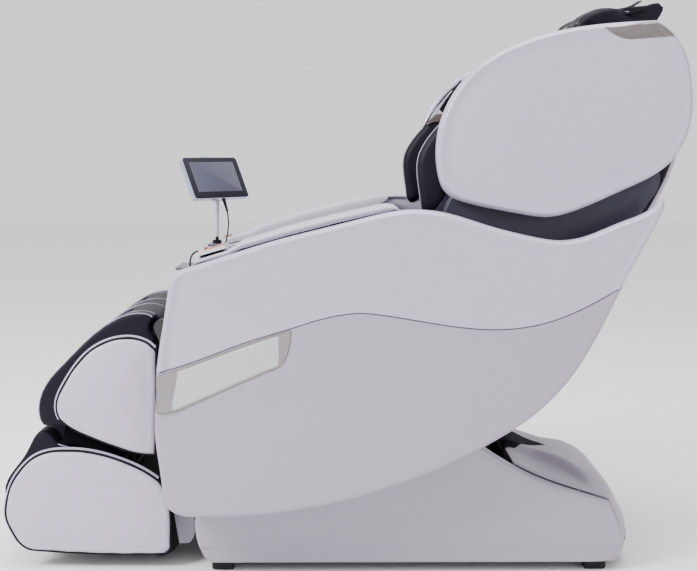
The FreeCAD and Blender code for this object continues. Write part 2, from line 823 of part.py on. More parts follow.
def make_tablet_cable():
    """The tablet's cable, from its plug down the inside of the right arm into the lining."""
    top = TABLET.multVec(Vector(8, 7, -Sizes.tablet_height / 2 + 2))
    axis = CABLE_EXIT - top
    plug = document.addObject("Part::Cone", "plug_cone")
    bind(plug, Radius1=5, Radius2="Sizes.cable_radius + 0.8", Height=axis.Length - 0.6)
    plug.Placement = Placement(top, Rotation(Vector(0, 0, 1), axis))
    finish(cut("cable_plug", plug, [bare_tablet()]), "cable_plug")
    route = [
        (-297, 300, 812), (-293, 290, 788), (-292, 271, 768), (-294, 250, 749), (-297, 235, 727),
        (-299, 228, 702), (-301, 226, 678), (-302, 229, 662), (-303, 240, 649),
        (-303, Sizes.lining_inner, 649),
    ]
    cord("tablet_cable", route, Sizes.cable_radius)


def bare_tablet():
    """The space of the tablet's housing, which the plug stops at."""
    half = Sizes.tablet_width / 2
    return box(
        "tablet_space", ("Sizes.tablet_width", "Sizes.tablet_thickness", "Sizes.tablet_height"),
        (-half, 0, -Sizes.tablet_height / 2), TABLET,
    )


def make_arm_cable():
    """The short cable from the control pod's socket over the front of the left arm."""
    y = POD_MIDDLE_Y + POD_SOCKET_Y
    start = POD.multVec(Vector(8, POD_SOCKET_Y, 10))
    ahead = POD.multVec(Vector(-1, POD_SOCKET_Y, 10))
    route = [
        (start.x, y, start.z), (ahead.x, y, ahead.z), (-316.5, y - 1, 748.5),
        (-320, y - 2, 736.5), (-320, y - 2, FRONT_PLATE_TOP),
    ]
    cord("arm_cable", route, Sizes.cable_radius)


# ---------------------------------------------------------------- backrest
RAIL_LOW, RAIL_HIGH = 40, 800
RAIL_REAR = -150
SCREW_OUT = -130


def make_back_frame():
    """Two rails and three cross bars, with pivot lugs, screw bearings and the recline lever."""
    solids = []
    lug = [
        [(-18, -14), (-14, 18), (14, 20)],
        [(14, 20), (95, -112)],
        [(95, -112), (95, -150)],
        [(95, -150), (60, -150)],
        [(60, -150), (-18, -14)],
    ]
    rail = box(
        "back_rail_left",
        (RAIL_HIGH - RAIL_LOW, "Sizes.back_rail_outer - Sizes.back_rail_inner", "Sizes.back_rail_depth"),
        (RAIL_LOW, -Sizes.back_rail_outer, RAIL_REAR), BACK,
    )
    ear = plate("back_lug_left", lug, -192, -184, BACK)
    for item in (rail, ear):
        solids += [item, mirror(item.Name + "_right", item)]
    for i, up in enumerate((RAIL_LOW, 470, RAIL_HIGH - 30)):
        solids.append(
            box(f"back_bar_{i}", (30, "2*Sizes.back_rail_outer", 10),
                (up, -Sizes.back_rail_outer, RAIL_REAR - 8), BACK)
        )
    for up in (RAIL_LOW, RAIL_HIGH - 30):
        solids.append(box(f"screw_bearing_{up}", (25, 40, 36), (up, -20, RAIL_REAR - 1), BACK))
    lever = polygon(
        [(-74, -64), (-62, -46), (-48, -50), (66, -136), (66, -158), (36, -158), (-58, -74)]
    )
    solids.append(plate("recline_lever", lever, -20, -10, BACK))
    solids.append(cross_rod("recline_lever_pin", 6, (-11, 10), BACK_LEVER_PIN))
    pivot = cross_rod(
        "recline_bore_left", "Sizes.recline_pin_radius + Sizes.running_clearance",
        (-200, -176), RECLINE_PIVOT,
    )
    screw = rod("screw_bore", 6 + Sizes.running_clearance, 900, (0, 0, SCREW_OUT), (1, 0, 0), BACK)
    bores = [pivot, mirror("recline_bore_right", pivot), screw]
    finish(cut("back_frame", fuse("back_frame_solids", solids), bores), "back_frame")


def make_lift_screw():
    """The lead screw that raises the massage carriage, with thinner journals at its ends."""
    low, high = RAIL_LOW + 26, RAIL_HIGH - 31
    thread = rod("screw_thread", "Sizes.screw_radius", high - low, (low, 0, SCREW_OUT), (1, 0, 0), BACK)
    journal = rod("screw_journal", 6, high - low + 40, (low - 20, 0, SCREW_OUT), (1, 0, 0), BACK)
    finish(fuse("lift_screw", [thread, journal]), "lift_screw")


def make_wings():
    """The two wing shells that stand beside the head and shoulders, and their trims."""
    left = hollow_plate(
        "wing_left", WING_OUTLINE, "-Sizes.wing_outer", "-Sizes.wing_inner",
        "Sizes.wing_skin", Sizes.wing_rim,
    )
    finish(left, "wing_left")
    finish(mirror("wing_right", left), "wing_right")
    trim = [
        [(574, 1243), (652, 1250), (690, 1251), (710, 1240), (731, 1221)],
        [(731, 1221), (632, 1214)],
        [(632, 1214), (617, 1217), (574, 1243)],
    ]
    left = plate(
        "wing_trim_left", trim, "-(Sizes.wing_outer + Sizes.wing_trim_thickness)",
        "-Sizes.wing_outer",
    )
    finish(group("wing_trims", [left, mirror("wing_trim_right", left)]), "wing_trims")


def make_shoulder_pads():
    """The padded liners of the wings, with a leaf that reaches round the shoulder."""
    outline = [
        [(232, 1036), (262, 1085), (305, 1138), (405, 1193), (572, 1231), (680, 1238)],
        [(680, 1238), (737, 1190), (758, 1115), (757, 1045), (722, 970), (615, 905), (505, 860)],
        [(505, 860), (404, 857), (300, 880), (250, 893)],
        [(250, 893), (226, 850), (205, 836), (190, 850)],
        [(190, 850), (181, 922), (183, 962), (199, 996), (232, 1036)],
    ]
    left = plate("shoulder_pad_left", outline, -330, -286)
    finish(left, "shoulder_pad_left")
    finish(mirror("shoulder_pad_right", left), "shoulder_pad_right")


def make_back_sides():
    """The upholstered sides of the backrest between the wings and the seat shells."""
    outline = [
        [(262, 884), (300, 868), (404, 846), (471, 841), (505, 849), (620, 892), (712, 944)],
        [(712, 944), back_point(660, -194), back_point(600, -204)],
        [back_point(600, -204), back_point(430, -204), back_point(330, -193), back_point(258, -172)],
        [back_point(258, -172), back_point(200, -145), back_point(120, -100)],
        [back_point(120, -100), (310, 548)],
        [(310, 548), (286, 640), (256, 740), (240, 840), (262, 884)],
    ]
    left = plate("back_side_left", outline, -328, -305)
    finish(left, "back_side_left")
    finish(mirror("back_side_right", left), "back_side_right")


def make_back_rear_cover():
    """The moulded rear of the backrest: a broad upper part and a narrow tongue below."""
    upper = [
        (925, -52), (856, -128), (790, -170), (700, -204), (600, -217), (430, -217), (330, -206),
        (258, -184),
    ]
    tongue = [(262, -185.5), (200, -174), (150, -167), (60, -164)]
    body = plate(
        "rear_cover_upper", strip(upper, 0, -Sizes.cover_thickness),
        "-Sizes.rear_cover_half_width", "Sizes.rear_cover_half_width", BACK,
    )
    low = plate("rear_cover_tongue", strip(tongue, 0, -Sizes.cover_thickness), -195, 195, BACK)
    finish(fuse("back_rear_cover", [body, low]), "back_rear_cover")


def make_back_pads():
    """The leather back pad over the rollers and the thick head pillow above it."""
    under = -Sizes.back_pad_thickness
    pad = [
        [(48, under), (41, 0), (46, 28), (65, 40), (100, 36), (150, 18), (240, 5), (400, 3),
         (600, 2), (800, 0)],
        [(800, 0), (848, -6), (860, under)],
        [(860, under), (48, under)],
    ]
    half = "Sizes.back_pad_half_width"
    finish(plate("back_pad", pad, "-" + half, half, BACK), "back_pad")
    pillow = [
        [(700, 10), (730, 62), (800, 112), (873, 134), (920, 112), (968, 66), (1005, 18), (1027, -4)],
        [(1027, -4), (1018, -34), (988, -42)],
        [(988, -42), (950, -40), (915, -24), (885, -2), (850, 9)],
        [(850, 9), (700, 10)],
    ]
    finish(plate("head_pillow", pillow, -175, 175, BACK), "head_pillow")


# ---------------------------------------------------------------- massage carriage
CARRIAGE_UP = 220
ROCKER_OUT = -90
WHEEL_REACH = 60
WHEEL_OUT = -68
WHEEL_INNER = 62


def make_carriage():
    """The nut block that runs between the rails, with three ears and the rocker axle."""
    block = box("carriage_block", (60, 342, 30), (CARRIAGE_UP - 30, -171, -145), BACK)
    ears = [
        box(f"carriage_ear_{i}", (36, 8, 38), (CARRIAGE_UP - 18, y, -117), BACK)
        for i, y in enumerate((-108, -4, 100))
    ]
    axle = cross_rod(
        "rocker_axle", "Sizes.axle_radius", (-108, 108), (CARRIAGE_UP, ROCKER_OUT), BACK
    )
    nut = rod("carriage_nut_bore", "Sizes.screw_radius + Sizes.running_clearance", 100,
              (CARRIAGE_UP - 50, 0, SCREW_OUT), (1, 0, 0), BACK)
    finish(cut("carriage", fuse("carriage_solids", [block, axle] + ears), [nut]), "carriage")


def make_massage_arms():
    """The two rockers that carry the massage wheels."""
    low, high = CARRIAGE_UP - WHEEL_REACH, CARRIAGE_UP + WHEEL_REACH
    outline = [
        [(low - 9, -76), (low - 9, -62)],
        [(low - 9, -62), (low - 1, -59), (low + 10, -58)],
        [(low + 10, -58), (CARRIAGE_UP - 14, -73)],
        [(CARRIAGE_UP - 14, -73), (CARRIAGE_UP, -70), (CARRIAGE_UP + 14, -73)],
        [(CARRIAGE_UP + 14, -73), (high - 10, -58)],
        [(high - 10, -58), (high + 1, -59), (high + 9, -62)],
        [(high + 9, -62), (high + 9, -76)],
        [(high + 9, -76), (CARRIAGE_UP + 18, -106)],
        [(CARRIAGE_UP + 18, -106), (CARRIAGE_UP - 18, -106)],
        [(CARRIAGE_UP - 18, -106), (low - 9, -76)],
    ]
    solids = [plate("rocker_plate", outline, -54, -36, BACK)]
    for up in (low, high):
        solids.append(
            cross_rod(f"wheel_pin_{up}", "Sizes.massage_pin_radius", (-96, -40), (up, WHEEL_OUT), BACK)
        )
    bore = cross_rod("rocker_bore", "Sizes.axle_radius + Sizes.running_clearance", (-60, -30),
                     (CARRIAGE_UP, ROCKER_OUT), BACK)
    left = cut("massage_arm_left", fuse("rocker_solids", solids), [bore])
    finish(left, "massage_arm_left")
    finish(mirror("massage_arm_right", left), "massage_arm_right")


def make_massage_wheels():
    for height, up in (("lower", CARRIAGE_UP - WHEEL_REACH), ("upper", CARRIAGE_UP + WHEEL_REACH)):
        reach = (-WHEEL_INNER - Sizes.massage_wheel_width, -WHEEL_INNER)
        drum = cross_rod(f"drum_{height}", "Sizes.massage_wheel_radius", reach, (up, WHEEL_OUT), BACK)
        bore = cross_rod(
            f"drum_bore_{height}", "Sizes.massage_pin_radius + Sizes.running_clearance",
            (reach[0] - 2, reach[1] + 2), (up, WHEEL_OUT), BACK,
        )
        left = cut(f"massage_wheel_{height}_left", drum, [bore])
        finish(left, f"massage_wheel_{height}_left")
        right = mirror(f"massage_wheel_{height}_right", left)
        finish(right, f"massage_wheel_{height}_right")


# ---------------------------------------------------------------- actuators
def make_actuator(name, pin, lever, body_end, rod_start, eye_hole, eye_shift):
    """An actuator: a tube that turns on a cross tube and a rod that slides out of it.

    The rod's eye is larger than the lever pin, because the pin swings through a small arc.
    """
    start = Vector(pin[0], 0, pin[1])
    along = Vector(lever[0], 0, lever[1]) - start
    length = along.Length
    turn = Rotation(Vector(1, 0, 0), along)
    frame = Placement(start, turn)
    knuckle = cross_rod(name + "_knuckle", 18, (-15, 15), (0, 0), frame)
    tube = rod(name + "_tube", 20, body_end - 12, (12, 0, 0), (1, 0, 0), frame)
    bores = [
        cross_rod(
            name + "_pin_bore", "Sizes.actuator_pin_radius + Sizes.running_clearance",
            (-30, 30), (0, 0), frame,
        ),
        rod(name + "_rod_bore", 9 + Sizes.running_clearance, body_end, (40, 0, 0), (1, 0, 0), frame),
    ]
    body = fuse(name + "_solids", [knuckle, tube])
    finish(cut(name + "_actuator", body, bores), name + "_actuator")
    eye_outer = eye_hole + 7
    stem = rod(name + "_stem", 9, length - eye_hole - 3 - rod_start, (rod_start, 0, 0), (1, 0, 0), frame)
    eye_place = (length + eye_shift[0], eye_shift[1])
    eye = cross_rod(name + "_eye", eye_outer, (-8, 8), eye_place, frame)
    hole = cross_rod(name + "_eye_hole", eye_hole, (-20, 20), eye_place, frame)
    finish(cut(name + "_rod", fuse(name + "_rod_solids", [stem, eye]), [hole]), name + "_rod")


# ---------------------------------------------------------------- leg unit
ROD_TOP, SLEEVE_TOP, SLEEVE_LOW = 130, 150, 290
ROD_Y = 150
SOLE_DOWN = 505


def slide_axis(first, last, radius, name):
    """A pair of cylinders along the calf, on the slide rods' axes."""
    offset = Sizes.slide_rod_offset
    left = rod(name, radius, last - first, (offset, -ROD_Y, -first), (0, 0, -1), LEG)
    return [left, mirror(name + "_right", left)]


def make_calf_frame():
    """Two side arms on the calf pivot, two cross tubes, the slide sleeves and the lever."""
    arm = [
        [leg_point(-6, 16), leg_point(-18, 0), leg_point(-6, -16)],
        [leg_point(-6, -16), leg_point(60, -30)],
        [leg_point(60, -30), leg_point(284, -32)],
        [leg_point(284, -32), leg_point(284, -8)],
        [leg_point(284, -8), leg_point(40, -4)],
        [leg_point(40, -4), leg_point(-6, 16)],
    ]
    left = plate("calf_arm", arm, -214, -206)
    solids = [left, mirror("calf_arm_right", left)]
    solids.append(cross_rod("calf_upper_tube", 7, (-210, 210), leg_point(28, -6)))
    solids.append(cross_rod("calf_lower_tube", 9, (-210, 210), leg_point(268, -17)))
    solids += slide_axis(SLEEVE_TOP, SLEEVE_LOW, "Sizes.slide_sleeve_radius", "slide_sleeve")
    lever = polygon(
        [(-417, 546), (-401, 548), (-390, 502), (-391, 489), (-401, 485), (-411, 490)]
    )
    solids.append(plate("calf_lever", lever, -20, -10))
    solids.append(cross_rod("calf_lever_pin", 6, (-11, 10), LEG_LEVER_PIN))
    bores = slide_axis(SLEEVE_TOP - 60, SLEEVE_LOW + 20, "Sizes.slide_rod_radius + Sizes.running_clearance",
                       "slide_bore")
    pivot = cross_rod(
        "calf_bore", "Sizes.calf_pin_radius + Sizes.running_clearance", (-220, -200), CALF_PIVOT
    )
    bores += [pivot, mirror("calf_bore_right", pivot)]
    finish(cut("calf_frame", fuse("calf_frame_solids", solids), bores), "calf_frame")


def wells(name, down, forward):
    """The two leg channels: boxes open towards the front of the leg unit."""
    width = "Sizes.leg_well_outer - Sizes.leg_well_inner"
    size = (forward[1] - forward[0], width, down[1] - down[0])
    corner = (-forward[1], -Sizes.leg_well_outer, -down[1])
    left = box(name, size, corner, LEG)
    return [left, mirror(name + "_right", left)]


def make_calf_pads():
    """The padded calf block: a middle ridge, two outer ridges and a well for each calf."""
    outline = [
        [leg_point(0, 5), (-415, 587), (-429, 600), (-458, 605), (-484, 601), (-536, 575),
         (-588, 532), (-631, 488), (-675, 437), (-691, 398), (-693, 367), (-682, 339)],
        [(-682, 339), leg_point(290, 150)],
        [leg_point(290, 150), leg_point(290, 5)],
        [leg_point(290, 5), leg_point(0, 5)],
    ]
    block = plate("calf_block", outline, "-Sizes.leg_pad_half_width", "Sizes.leg_pad_half_width")
    notch = cross_rod("calf_notch", 26, (-250, -190), CALF_PIVOT)
    tools = wells("calf_well", (-80, 400), (92, 300))
    tools += [notch, mirror("calf_notch_right", notch)]
    finish(cut("calf_pads", block, tools), "calf_pads")


def make_leg_panels():
    """The moulded side panels of the calf block and of the foot block."""
    calf = [
        [(-434, 534), (-459, 544), (-491, 546)],
        [(-491, 546), (-533, 536), (-566, 517), (-600, 482), (-630, 436), (-647, 394), (-640, 358)],
        [(-640, 358), (-611, 335), (-546, 306), (-480, 282), (-422, 274)],
        [(-422, 274), (-417, 400)],
        [(-417, 400), (-416, 517)],
        [(-416, 517), (-434, 534)],
    ]
    left = plate("calf_panel_left", calf, "-Sizes.leg_panel_outer", "-Sizes.leg_panel_inner")
    finish(
        group("calf_side_panels", [left, mirror("calf_panel_right", left)]), "calf_side_panels"
    )
    foot = [
        [(-625, 282), (-663, 280), (-696, 270), (-730, 242), (-756, 204), (-769, 162), (-771, 123),
         (-759, 93), (-740, 62), (-712, 47)],
        [(-712, 47), (-660, 43), (-535, 37), (-409, 37)],
        [(-409, 37), (-394, 42), (-390, 58)],
        [(-390, 58), (-389, 100), (-391, 150), (-413, 208)],
        [(-413, 208), (-452, 235), (-505, 259), (-563, 276), (-625, 282)],
    ]
    left = plate("foot_panel_left", foot, "-Sizes.leg_panel_outer", "-Sizes.leg_panel_inner")
    finish(
        group("foot_side_panels", [left, mirror("foot_panel_right", left)]), "foot_side_panels"
    )


def make_foot_frame():
    """The two slide rods, the heel plate they are fixed to and the sole plate."""
    solids = slide_axis(ROD_TOP, SOLE_DOWN + 3, "Sizes.slide_rod_radius", "slide_rod")
    solids.append(box("heel_plate", (10, 380, 150), (28, -190, -SOLE_DOWN), LEG))
    solids.append(box("sole_plate", (226, 440, 6), (-188, -220, -SOLE_DOWN - 6), LEG))
    finish(fuse("foot_frame", solids), "foot_frame")


def make_foot_pads():
    """The padded foot block with a boot-shaped well for each foot."""
    outline = [
        [leg_point(335, -8), leg_point(334, 150)],
        [leg_point(334, 150), (-668, 322), (-682, 330), (-722, 281), (-754, 236), (-776, 196),
         (-774, 170), leg_point(500, 202)],
        [leg_point(500, 202), leg_point(500, -8)],
        [leg_point(500, -8), leg_point(335, -8)],
    ]
    block = plate("foot_block", outline, "-Sizes.leg_pad_half_width", "Sizes.leg_pad_half_width")
    finish(cut("foot_pads", block, wells("foot_well", (280, 488), (14, 300))), "foot_pads")


def make_foot_lower_shell():
    """The moulded underside and heel of the foot block, with the motor housing behind it."""
    shell = [
        [leg_point(346, -44), (-415, 200)],
        [(-415, 200), (-396, 165)],
        [(-396, 165), (-342, 165)],
        [(-342, 165), (-340, 105), (-345, 52), (-352, 43)],
        [(-352, 43), (-376, 42)],
        [(-376, 42), (-392, 24), (-412, 12), (-432, 13), (-440, 40)],
        [(-440, 40), (-660, 48)],
        [(-660, 48), (-706, 52), (-734, 68), (-755, 100), (-764, 128), leg_point(514, 200)],
        [leg_point(514, 200), leg_point(514, -44)],
        [leg_point(514, -44), leg_point(346, -44)],
    ]
    body = plate("foot_lower_shell", shell, -190, 190)
    finish(body, "foot_lower_shell")


def make_leg_bellows():
    """The pleated cloth between the calf block and the foot block."""
    fold = box("bellows", (143, 476, 36), (-150, -238, -329), LEG)
    finish(fold, "leg_bellows")


# ---------------------------------------------------------------- build and export
make_base_frame()
make_base_covers()
make_base_rear_cover()
make_power_inlet()
make_power_switch()
make_rubber_feet()
make_track_rollers()
make_seat_frame()
make_side_shells()
make_badge_plates()
make_arms()
make_seat_cushion()
make_arm_front_plates()
make_control_pod()
make_keys()
make_tablet_post()
make_tablet_case()
make_tablet_cable()
make_arm_cable()
make_back_frame()
make_lift_screw()
make_wings()
make_shoulder_pads()
make_back_sides()
make_back_rear_cover()
make_back_pads()
make_carriage()
make_massage_arms()
make_massage_wheels()
make_actuator("leg", LEG_ACTUATOR_PIN, LEG_LEVER_PIN, 190, 60, 13, LEG_EYE_SHIFT)
make_actuator("back", BACK_ACTUATOR_PIN, BACK_LEVER_PIN, 230, 120, 12, (0, 0))
make_calf_frame()
make_calf_pads()
make_leg_panels()
make_foot_frame()
make_foot_pads()
make_foot_lower_shell()
make_leg_bellows()
document.recompute()

for item in document.Objects:
    if "Invalid" in item.State or "Error" in item.State:
        raise RuntimeError(f"{item.Name} failed: {item.State}")
for node in nodes:
    if node.Shape.isNull() or not node.Shape.isValid():
        raise RuntimeError(f"{node.Label} has no valid shape")
box_all = FreeCAD.BoundBox()
for node in nodes:
    node.Shape.exportStep(os.path.join("parts", node.Label + ".step"))
    box_all.add(node.Shape.BoundBox)
    solids = len(node.Shape.Solids)
    print(f"{node.Label:28s} solids {solids:2d} litres {node.Shape.Volume / 1e6:8.3f}")
print(len(nodes), "nodes, box", [round(v, 1) for v in (
    box_all.XMin, box_all.XMax, box_all.YMin, box_all.YMax, box_all.ZMin, box_all.ZMax)])
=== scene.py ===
"""Looks of a massage chair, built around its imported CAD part.

Each sub-assembly is a class: its fields are sizes in metres, build() makes its pieces and
dress() gives carried CAD pieces their finish.  +Z is up and the sitter faces -X.
"""

import json
import logging
import math
from collections.abc import Callable
from dataclasses import dataclass
from enum import Enum

import bmesh
import bpy
import numpy as np
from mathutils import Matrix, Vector, geometry

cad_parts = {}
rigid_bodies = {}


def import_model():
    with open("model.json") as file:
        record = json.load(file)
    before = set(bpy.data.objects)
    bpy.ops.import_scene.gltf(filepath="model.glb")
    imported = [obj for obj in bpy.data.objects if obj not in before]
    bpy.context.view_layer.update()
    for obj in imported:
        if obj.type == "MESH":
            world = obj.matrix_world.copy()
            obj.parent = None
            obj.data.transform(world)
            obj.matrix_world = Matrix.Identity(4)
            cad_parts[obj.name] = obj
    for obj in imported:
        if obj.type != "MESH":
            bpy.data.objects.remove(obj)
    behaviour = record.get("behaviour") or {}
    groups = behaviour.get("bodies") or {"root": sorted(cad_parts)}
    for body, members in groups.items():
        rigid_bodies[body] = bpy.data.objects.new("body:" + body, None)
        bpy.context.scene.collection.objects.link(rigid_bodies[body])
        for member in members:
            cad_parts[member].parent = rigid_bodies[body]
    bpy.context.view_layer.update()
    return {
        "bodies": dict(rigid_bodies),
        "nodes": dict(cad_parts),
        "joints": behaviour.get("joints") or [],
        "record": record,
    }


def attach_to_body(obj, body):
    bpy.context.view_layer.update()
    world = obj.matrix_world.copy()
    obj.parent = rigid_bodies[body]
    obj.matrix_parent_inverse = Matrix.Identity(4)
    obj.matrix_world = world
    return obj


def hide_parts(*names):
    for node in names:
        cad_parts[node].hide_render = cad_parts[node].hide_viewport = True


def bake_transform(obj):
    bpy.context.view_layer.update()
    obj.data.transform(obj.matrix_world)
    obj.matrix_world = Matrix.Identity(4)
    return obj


LOG = logging.getLogger("massage_chair")

SIDES = (("left", -1), ("right", 1))
BACK_ANGLE = math.radians(59)
BACK_PIVOT = (0.215, 0.455)
LEG_ANGLE = math.radians(18)
LEG_PIVOT = (-0.405, 0.570)
POD_ANGLE = math.radians(16)
POD_FOOT = (-0.306, 0.746)
CREASE = 38.0
BAR_CREASE = 60.0
TINY = 1e-12


# ---------------------------------------------------------------- finishes
Tree = bpy.types.NodeTree
Socket = bpy.types.NodeSocket


class Grain(Enum):
    """Kinds of surface relief."""

    FINE = "fine"
    PEBBLE = "pebble"
    BRUSHED = "brushed"
    WEAVE = "weave"


@dataclass(frozen=True)
class Finish:
    """One material: its colour, gloss and relief.

    grain is the number of relief cells per metre, and relief is how strong they look.
    """

    slot: str
    base: tuple[float, float, float]
    roughness: float
    kind: Grain = Grain.FINE
    metallic: float = 0.0
    coat: float = 0.0
    grain: float = 900.0
    relief: float = 0.1
    shade: float = 0.05
    tone: str = ""
    specular: float = 0.5

    @property
    def name(self) -> str:
        """The material's name: the record's slot and the tone."""
        return f"{self.slot}_{self.tone or 'main'}"

    def material(self) -> bpy.types.Material:
        """Returns the material, made once."""
        found = bpy.data.materials.get(self.name)
        if found:
            return found
        made = bpy.data.materials.new(self.name)
        made.use_nodes = True
        tree = made.node_tree
        shader = tree.nodes["Principled BSDF"]
        shader.inputs["Metallic"].default_value = self.metallic
        shader.inputs["Specular IOR Level"].default_value = self.specular
        shader.inputs["Coat Weight"].default_value = self.coat
        shader.inputs["Coat Roughness"].default_value = 0.18
        place = tree.nodes.new("ShaderNodeTexCoord")
        broad = self._texture(tree, place.outputs["Object"], "ShaderNodeTexNoise", 9.0)
        relief = self._relief(tree, place.outputs["Object"])
        self._colour(tree, shader, broad, relief)
        bump = tree.nodes.new("ShaderNodeBump")
        bump.inputs["Strength"].default_value = self.relief
        bump.inputs["Distance"].default_value = 0.0006
        tree.links.new(relief, bump.inputs["Height"])
        tree.links.new(bump.outputs["Normal"], shader.inputs["Normal"])
        return made

    def _texture(self, tree: Tree, vector: Socket, kind: str, scale: float) -> Socket:
        """Returns the first useful output of a texture node at a scale."""
        node = tree.nodes.new(kind)
        node.inputs["Scale"].default_value = scale
        tree.links.new(vector, node.inputs["Vector"])
        return node.outputs[0]

    def _relief(self, tree: Tree, vector: Socket) -> Socket:
        """Returns the relief height for this kind of grain."""
        if self.kind is Grain.PEBBLE:
            return self._texture(tree, vector, "ShaderNodeTexVoronoi", self.grain)
        if self.kind in (Grain.BRUSHED, Grain.WEAVE):
            stretch = tree.nodes.new("ShaderNodeMapping")
            turned = (1.0, 60.0, 60.0) if self.kind is Grain.BRUSHED else (1.0, 1.0, 2.2)
            stretch.inputs["Scale"].default_value = turned
            tree.links.new(vector, stretch.inputs["Vector"])
            kind = "ShaderNodeTexNoise" if self.kind is Grain.BRUSHED else "ShaderNodeTexVoronoi"
            return self._texture(tree, stretch.outputs["Vector"], kind, self.grain)
        return self._texture(tree, vector, "ShaderNodeTexNoise", self.grain)

    def _colour(self, tree: Tree, shader: bpy.types.Node, broad: Socket, relief: Socket) -> None:
        """Lets colour and gloss vary a little with a broad pattern and with the relief."""
        both = tree.nodes.new("ShaderNodeMath")
        both.operation = "MULTIPLY_ADD"
        both.inputs[1].default_value = 0.5
        tree.links.new(broad, both.inputs[0])
        half = tree.nodes.new("ShaderNodeMath")
        half.operation = "MULTIPLY"
        half.inputs[1].default_value = 0.5
        tree.links.new(relief, half.inputs[0])
        tree.links.new(half.outputs[0], both.inputs[2])
        mix = tree.nodes.new("ShaderNodeMix")
        mix.data_type = "RGBA"
        low = [c * (1 - self.shade) for c in self.base]
        high = [min(1.0, c * (1 + self.shade)) for c in self.base]
        mix.inputs[6].default_value = (*low, 1)
        mix.inputs[7].default_value = (*high, 1)
        tree.links.new(both.outputs[0], mix.inputs[0])
        tree.links.new(mix.outputs[2], shader.inputs["Base Color"])
        gloss = tree.nodes.new("ShaderNodeMapRange")
        gloss.inputs["To Min"].default_value = self.roughness * 0.88
        gloss.inputs["To Max"].default_value = min(1.0, self.roughness * 1.12)
        tree.links.new(both.outputs[0], gloss.inputs["Value"])
        tree.links.new(gloss.outputs["Result"], shader.inputs["Roughness"])


PEARL = Finish("pearl_shell", (0.40, 0.37, 0.475), 0.36, Grain.FINE, 0.15, 0.25, 620, 0.22, 0.07)
PEARL_LOW = Finish(
    "pearl_shell_low", (0.31, 0.275, 0.345), 0.44, Grain.FINE, 0.1, 0.1, 620, 0.22, 0.06
)
SILVER = Finish("trim_silver", (0.50, 0.495, 0.53), 0.36, Grain.BRUSHED, 0.7, 0, 40, 0.05, 0.08)
TAUPE = Finish("trim_taupe", (0.13, 0.11, 0.115), 0.3, Grain.FINE, 0.5, 0.4, 500, 0.05, 0.08)
DARK = Finish(
    "leather_dark", (0.006, 0.0045, 0.010), 0.46, Grain.PEBBLE, 0, 0, 520, 0.35, 0.2, "", 0.13
)
PALE = Finish("leather_pale", (0.42, 0.39, 0.475), 0.5, Grain.PEBBLE, 0, 0, 650, 0.14, 0.04)
# Greyer pale leather: the real colour of the liner piping and the leg seams, and painted shade on
# the ribbed sides of the arm pads, under their tops.
PALE_GREY_AND_SHADE = Finish(
    "leather_pale", (0.26, 0.235, 0.33), 0.5, Grain.PEBBLE, 0, 0, 650, 0.2, 0.08, "band"
)
SLATE = Finish(
    "leather_slate", (0.028, 0.024, 0.044), 0.36, Grain.PEBBLE, 0, 0, 600, 0.2, 0.12, "", 0.3
)
BLACK = Finish(
    "plastic_dark", (0.005, 0.004, 0.007), 0.55, Grain.FINE, 0, 0, 900, 0.3, 0.2, "", 0.12
)
GREY = Finish("plastic_grey", (0.52, 0.50, 0.58), 0.35, Grain.FINE, 0, 0.2, 600, 0.05, 0.04)
COPPER = Finish("key_copper", (0.55, 0.20, 0.13), 0.35, Grain.BRUSHED, 0.4, 0.2, 60, 0.05, 0.1)
STEEL_DARK = Finish("steel_frame", (0.03, 0.03, 0.032), 0.45, Grain.FINE, 0.3, 0, 700, 0.3, 0.15)
STEEL = Finish("steel_bright", (0.60, 0.60, 0.62), 0.25, Grain.BRUSHED, 1.0, 0, 60, 0.1, 0.06)
RUBBER = Finish(
    "rubber_black", (0.006, 0.005, 0.008), 0.6, Grain.FINE, 0, 0, 900, 0.3, 0.2, "", 0.25
)
WHEEL = Finish("wheel_grey", (0.10, 0.10, 0.12), 0.6, Grain.FINE, 0, 0, 600, 0.3, 0.15)
CLOTH = Finish(
    "fabric_black", (0.006, 0.005, 0.009), 0.8, Grain.WEAVE, 0, 0, 900, 0.6, 0.3, "", 0.1
)
CASE = Finish("tablet_body", (0.32, 0.36, 0.52), 0.28, Grain.FINE, 0.4, 0.2, 500, 0.03, 0.05)
BEZEL = Finish(
    "tablet_body", (0.014, 0.011, 0.019), 0.5, Grain.FINE, 0, 0, 500, 0.02, 0.1, "bezel", 0.15
)
SCREEN = Finish(
    "tablet_body", (0.075, 0.075, 0.12), 0.25, Grain.FINE, 0, 0.15, 60, 0.0, 0.04, "screen", 0.3
)
TAUPE_BRIGHT = Finish(
    "trim_silver", (0.25, 0.225, 0.235), 0.36, Grain.BRUSHED, 0.6, 0.1, 30, 0.04, 0.12, "frame"
)
SLATE_TRIM = Finish(
    "trim_taupe", (0.10, 0.095, 0.13), 0.35, Grain.FINE, 0.3, 0.2, 500, 0.05, 0.08, "plate", 0.3
)
PALE_WELT = Finish(
    "leather_pale", (0.36, 0.33, 0.45), 0.45, Grain.PEBBLE, 0, 0, 650, 0.2, 0.08, "welt"
)
THREAD = Finish(
    "leather_pale", (0.62, 0.60, 0.70), 0.6, Grain.WEAVE, 0, 0, 1500, 0.3, 0.1, "thread"
)


# ---------------------------------------------------------------- mesh making
Points = np.ndarray
Profile = Callable[[Points, Points], Points]


def placed(name: str, data: bpy.types.ID) -> bpy.types.Object:
    """Returns a new object that holds the data, linked to the scene."""
    made = bpy.data.objects.new(name, data)
    bpy.context.scene.collection.objects.link(made)
    return made


def unit(ways: Points) -> Points:
    """Returns rows of vectors with their lengths made one."""
    return ways / (np.linalg.norm(ways, axis=-1)[..., None] + TINY)


def inward(loop: Points) -> Points:
    """Returns the normals of a closed outline, pointing into it."""
    way = np.roll(loop, -1, 0) - np.roll(loop, 1, 0)
    return unit(np.stack([-way[:, 1], way[:, 0]], 1))


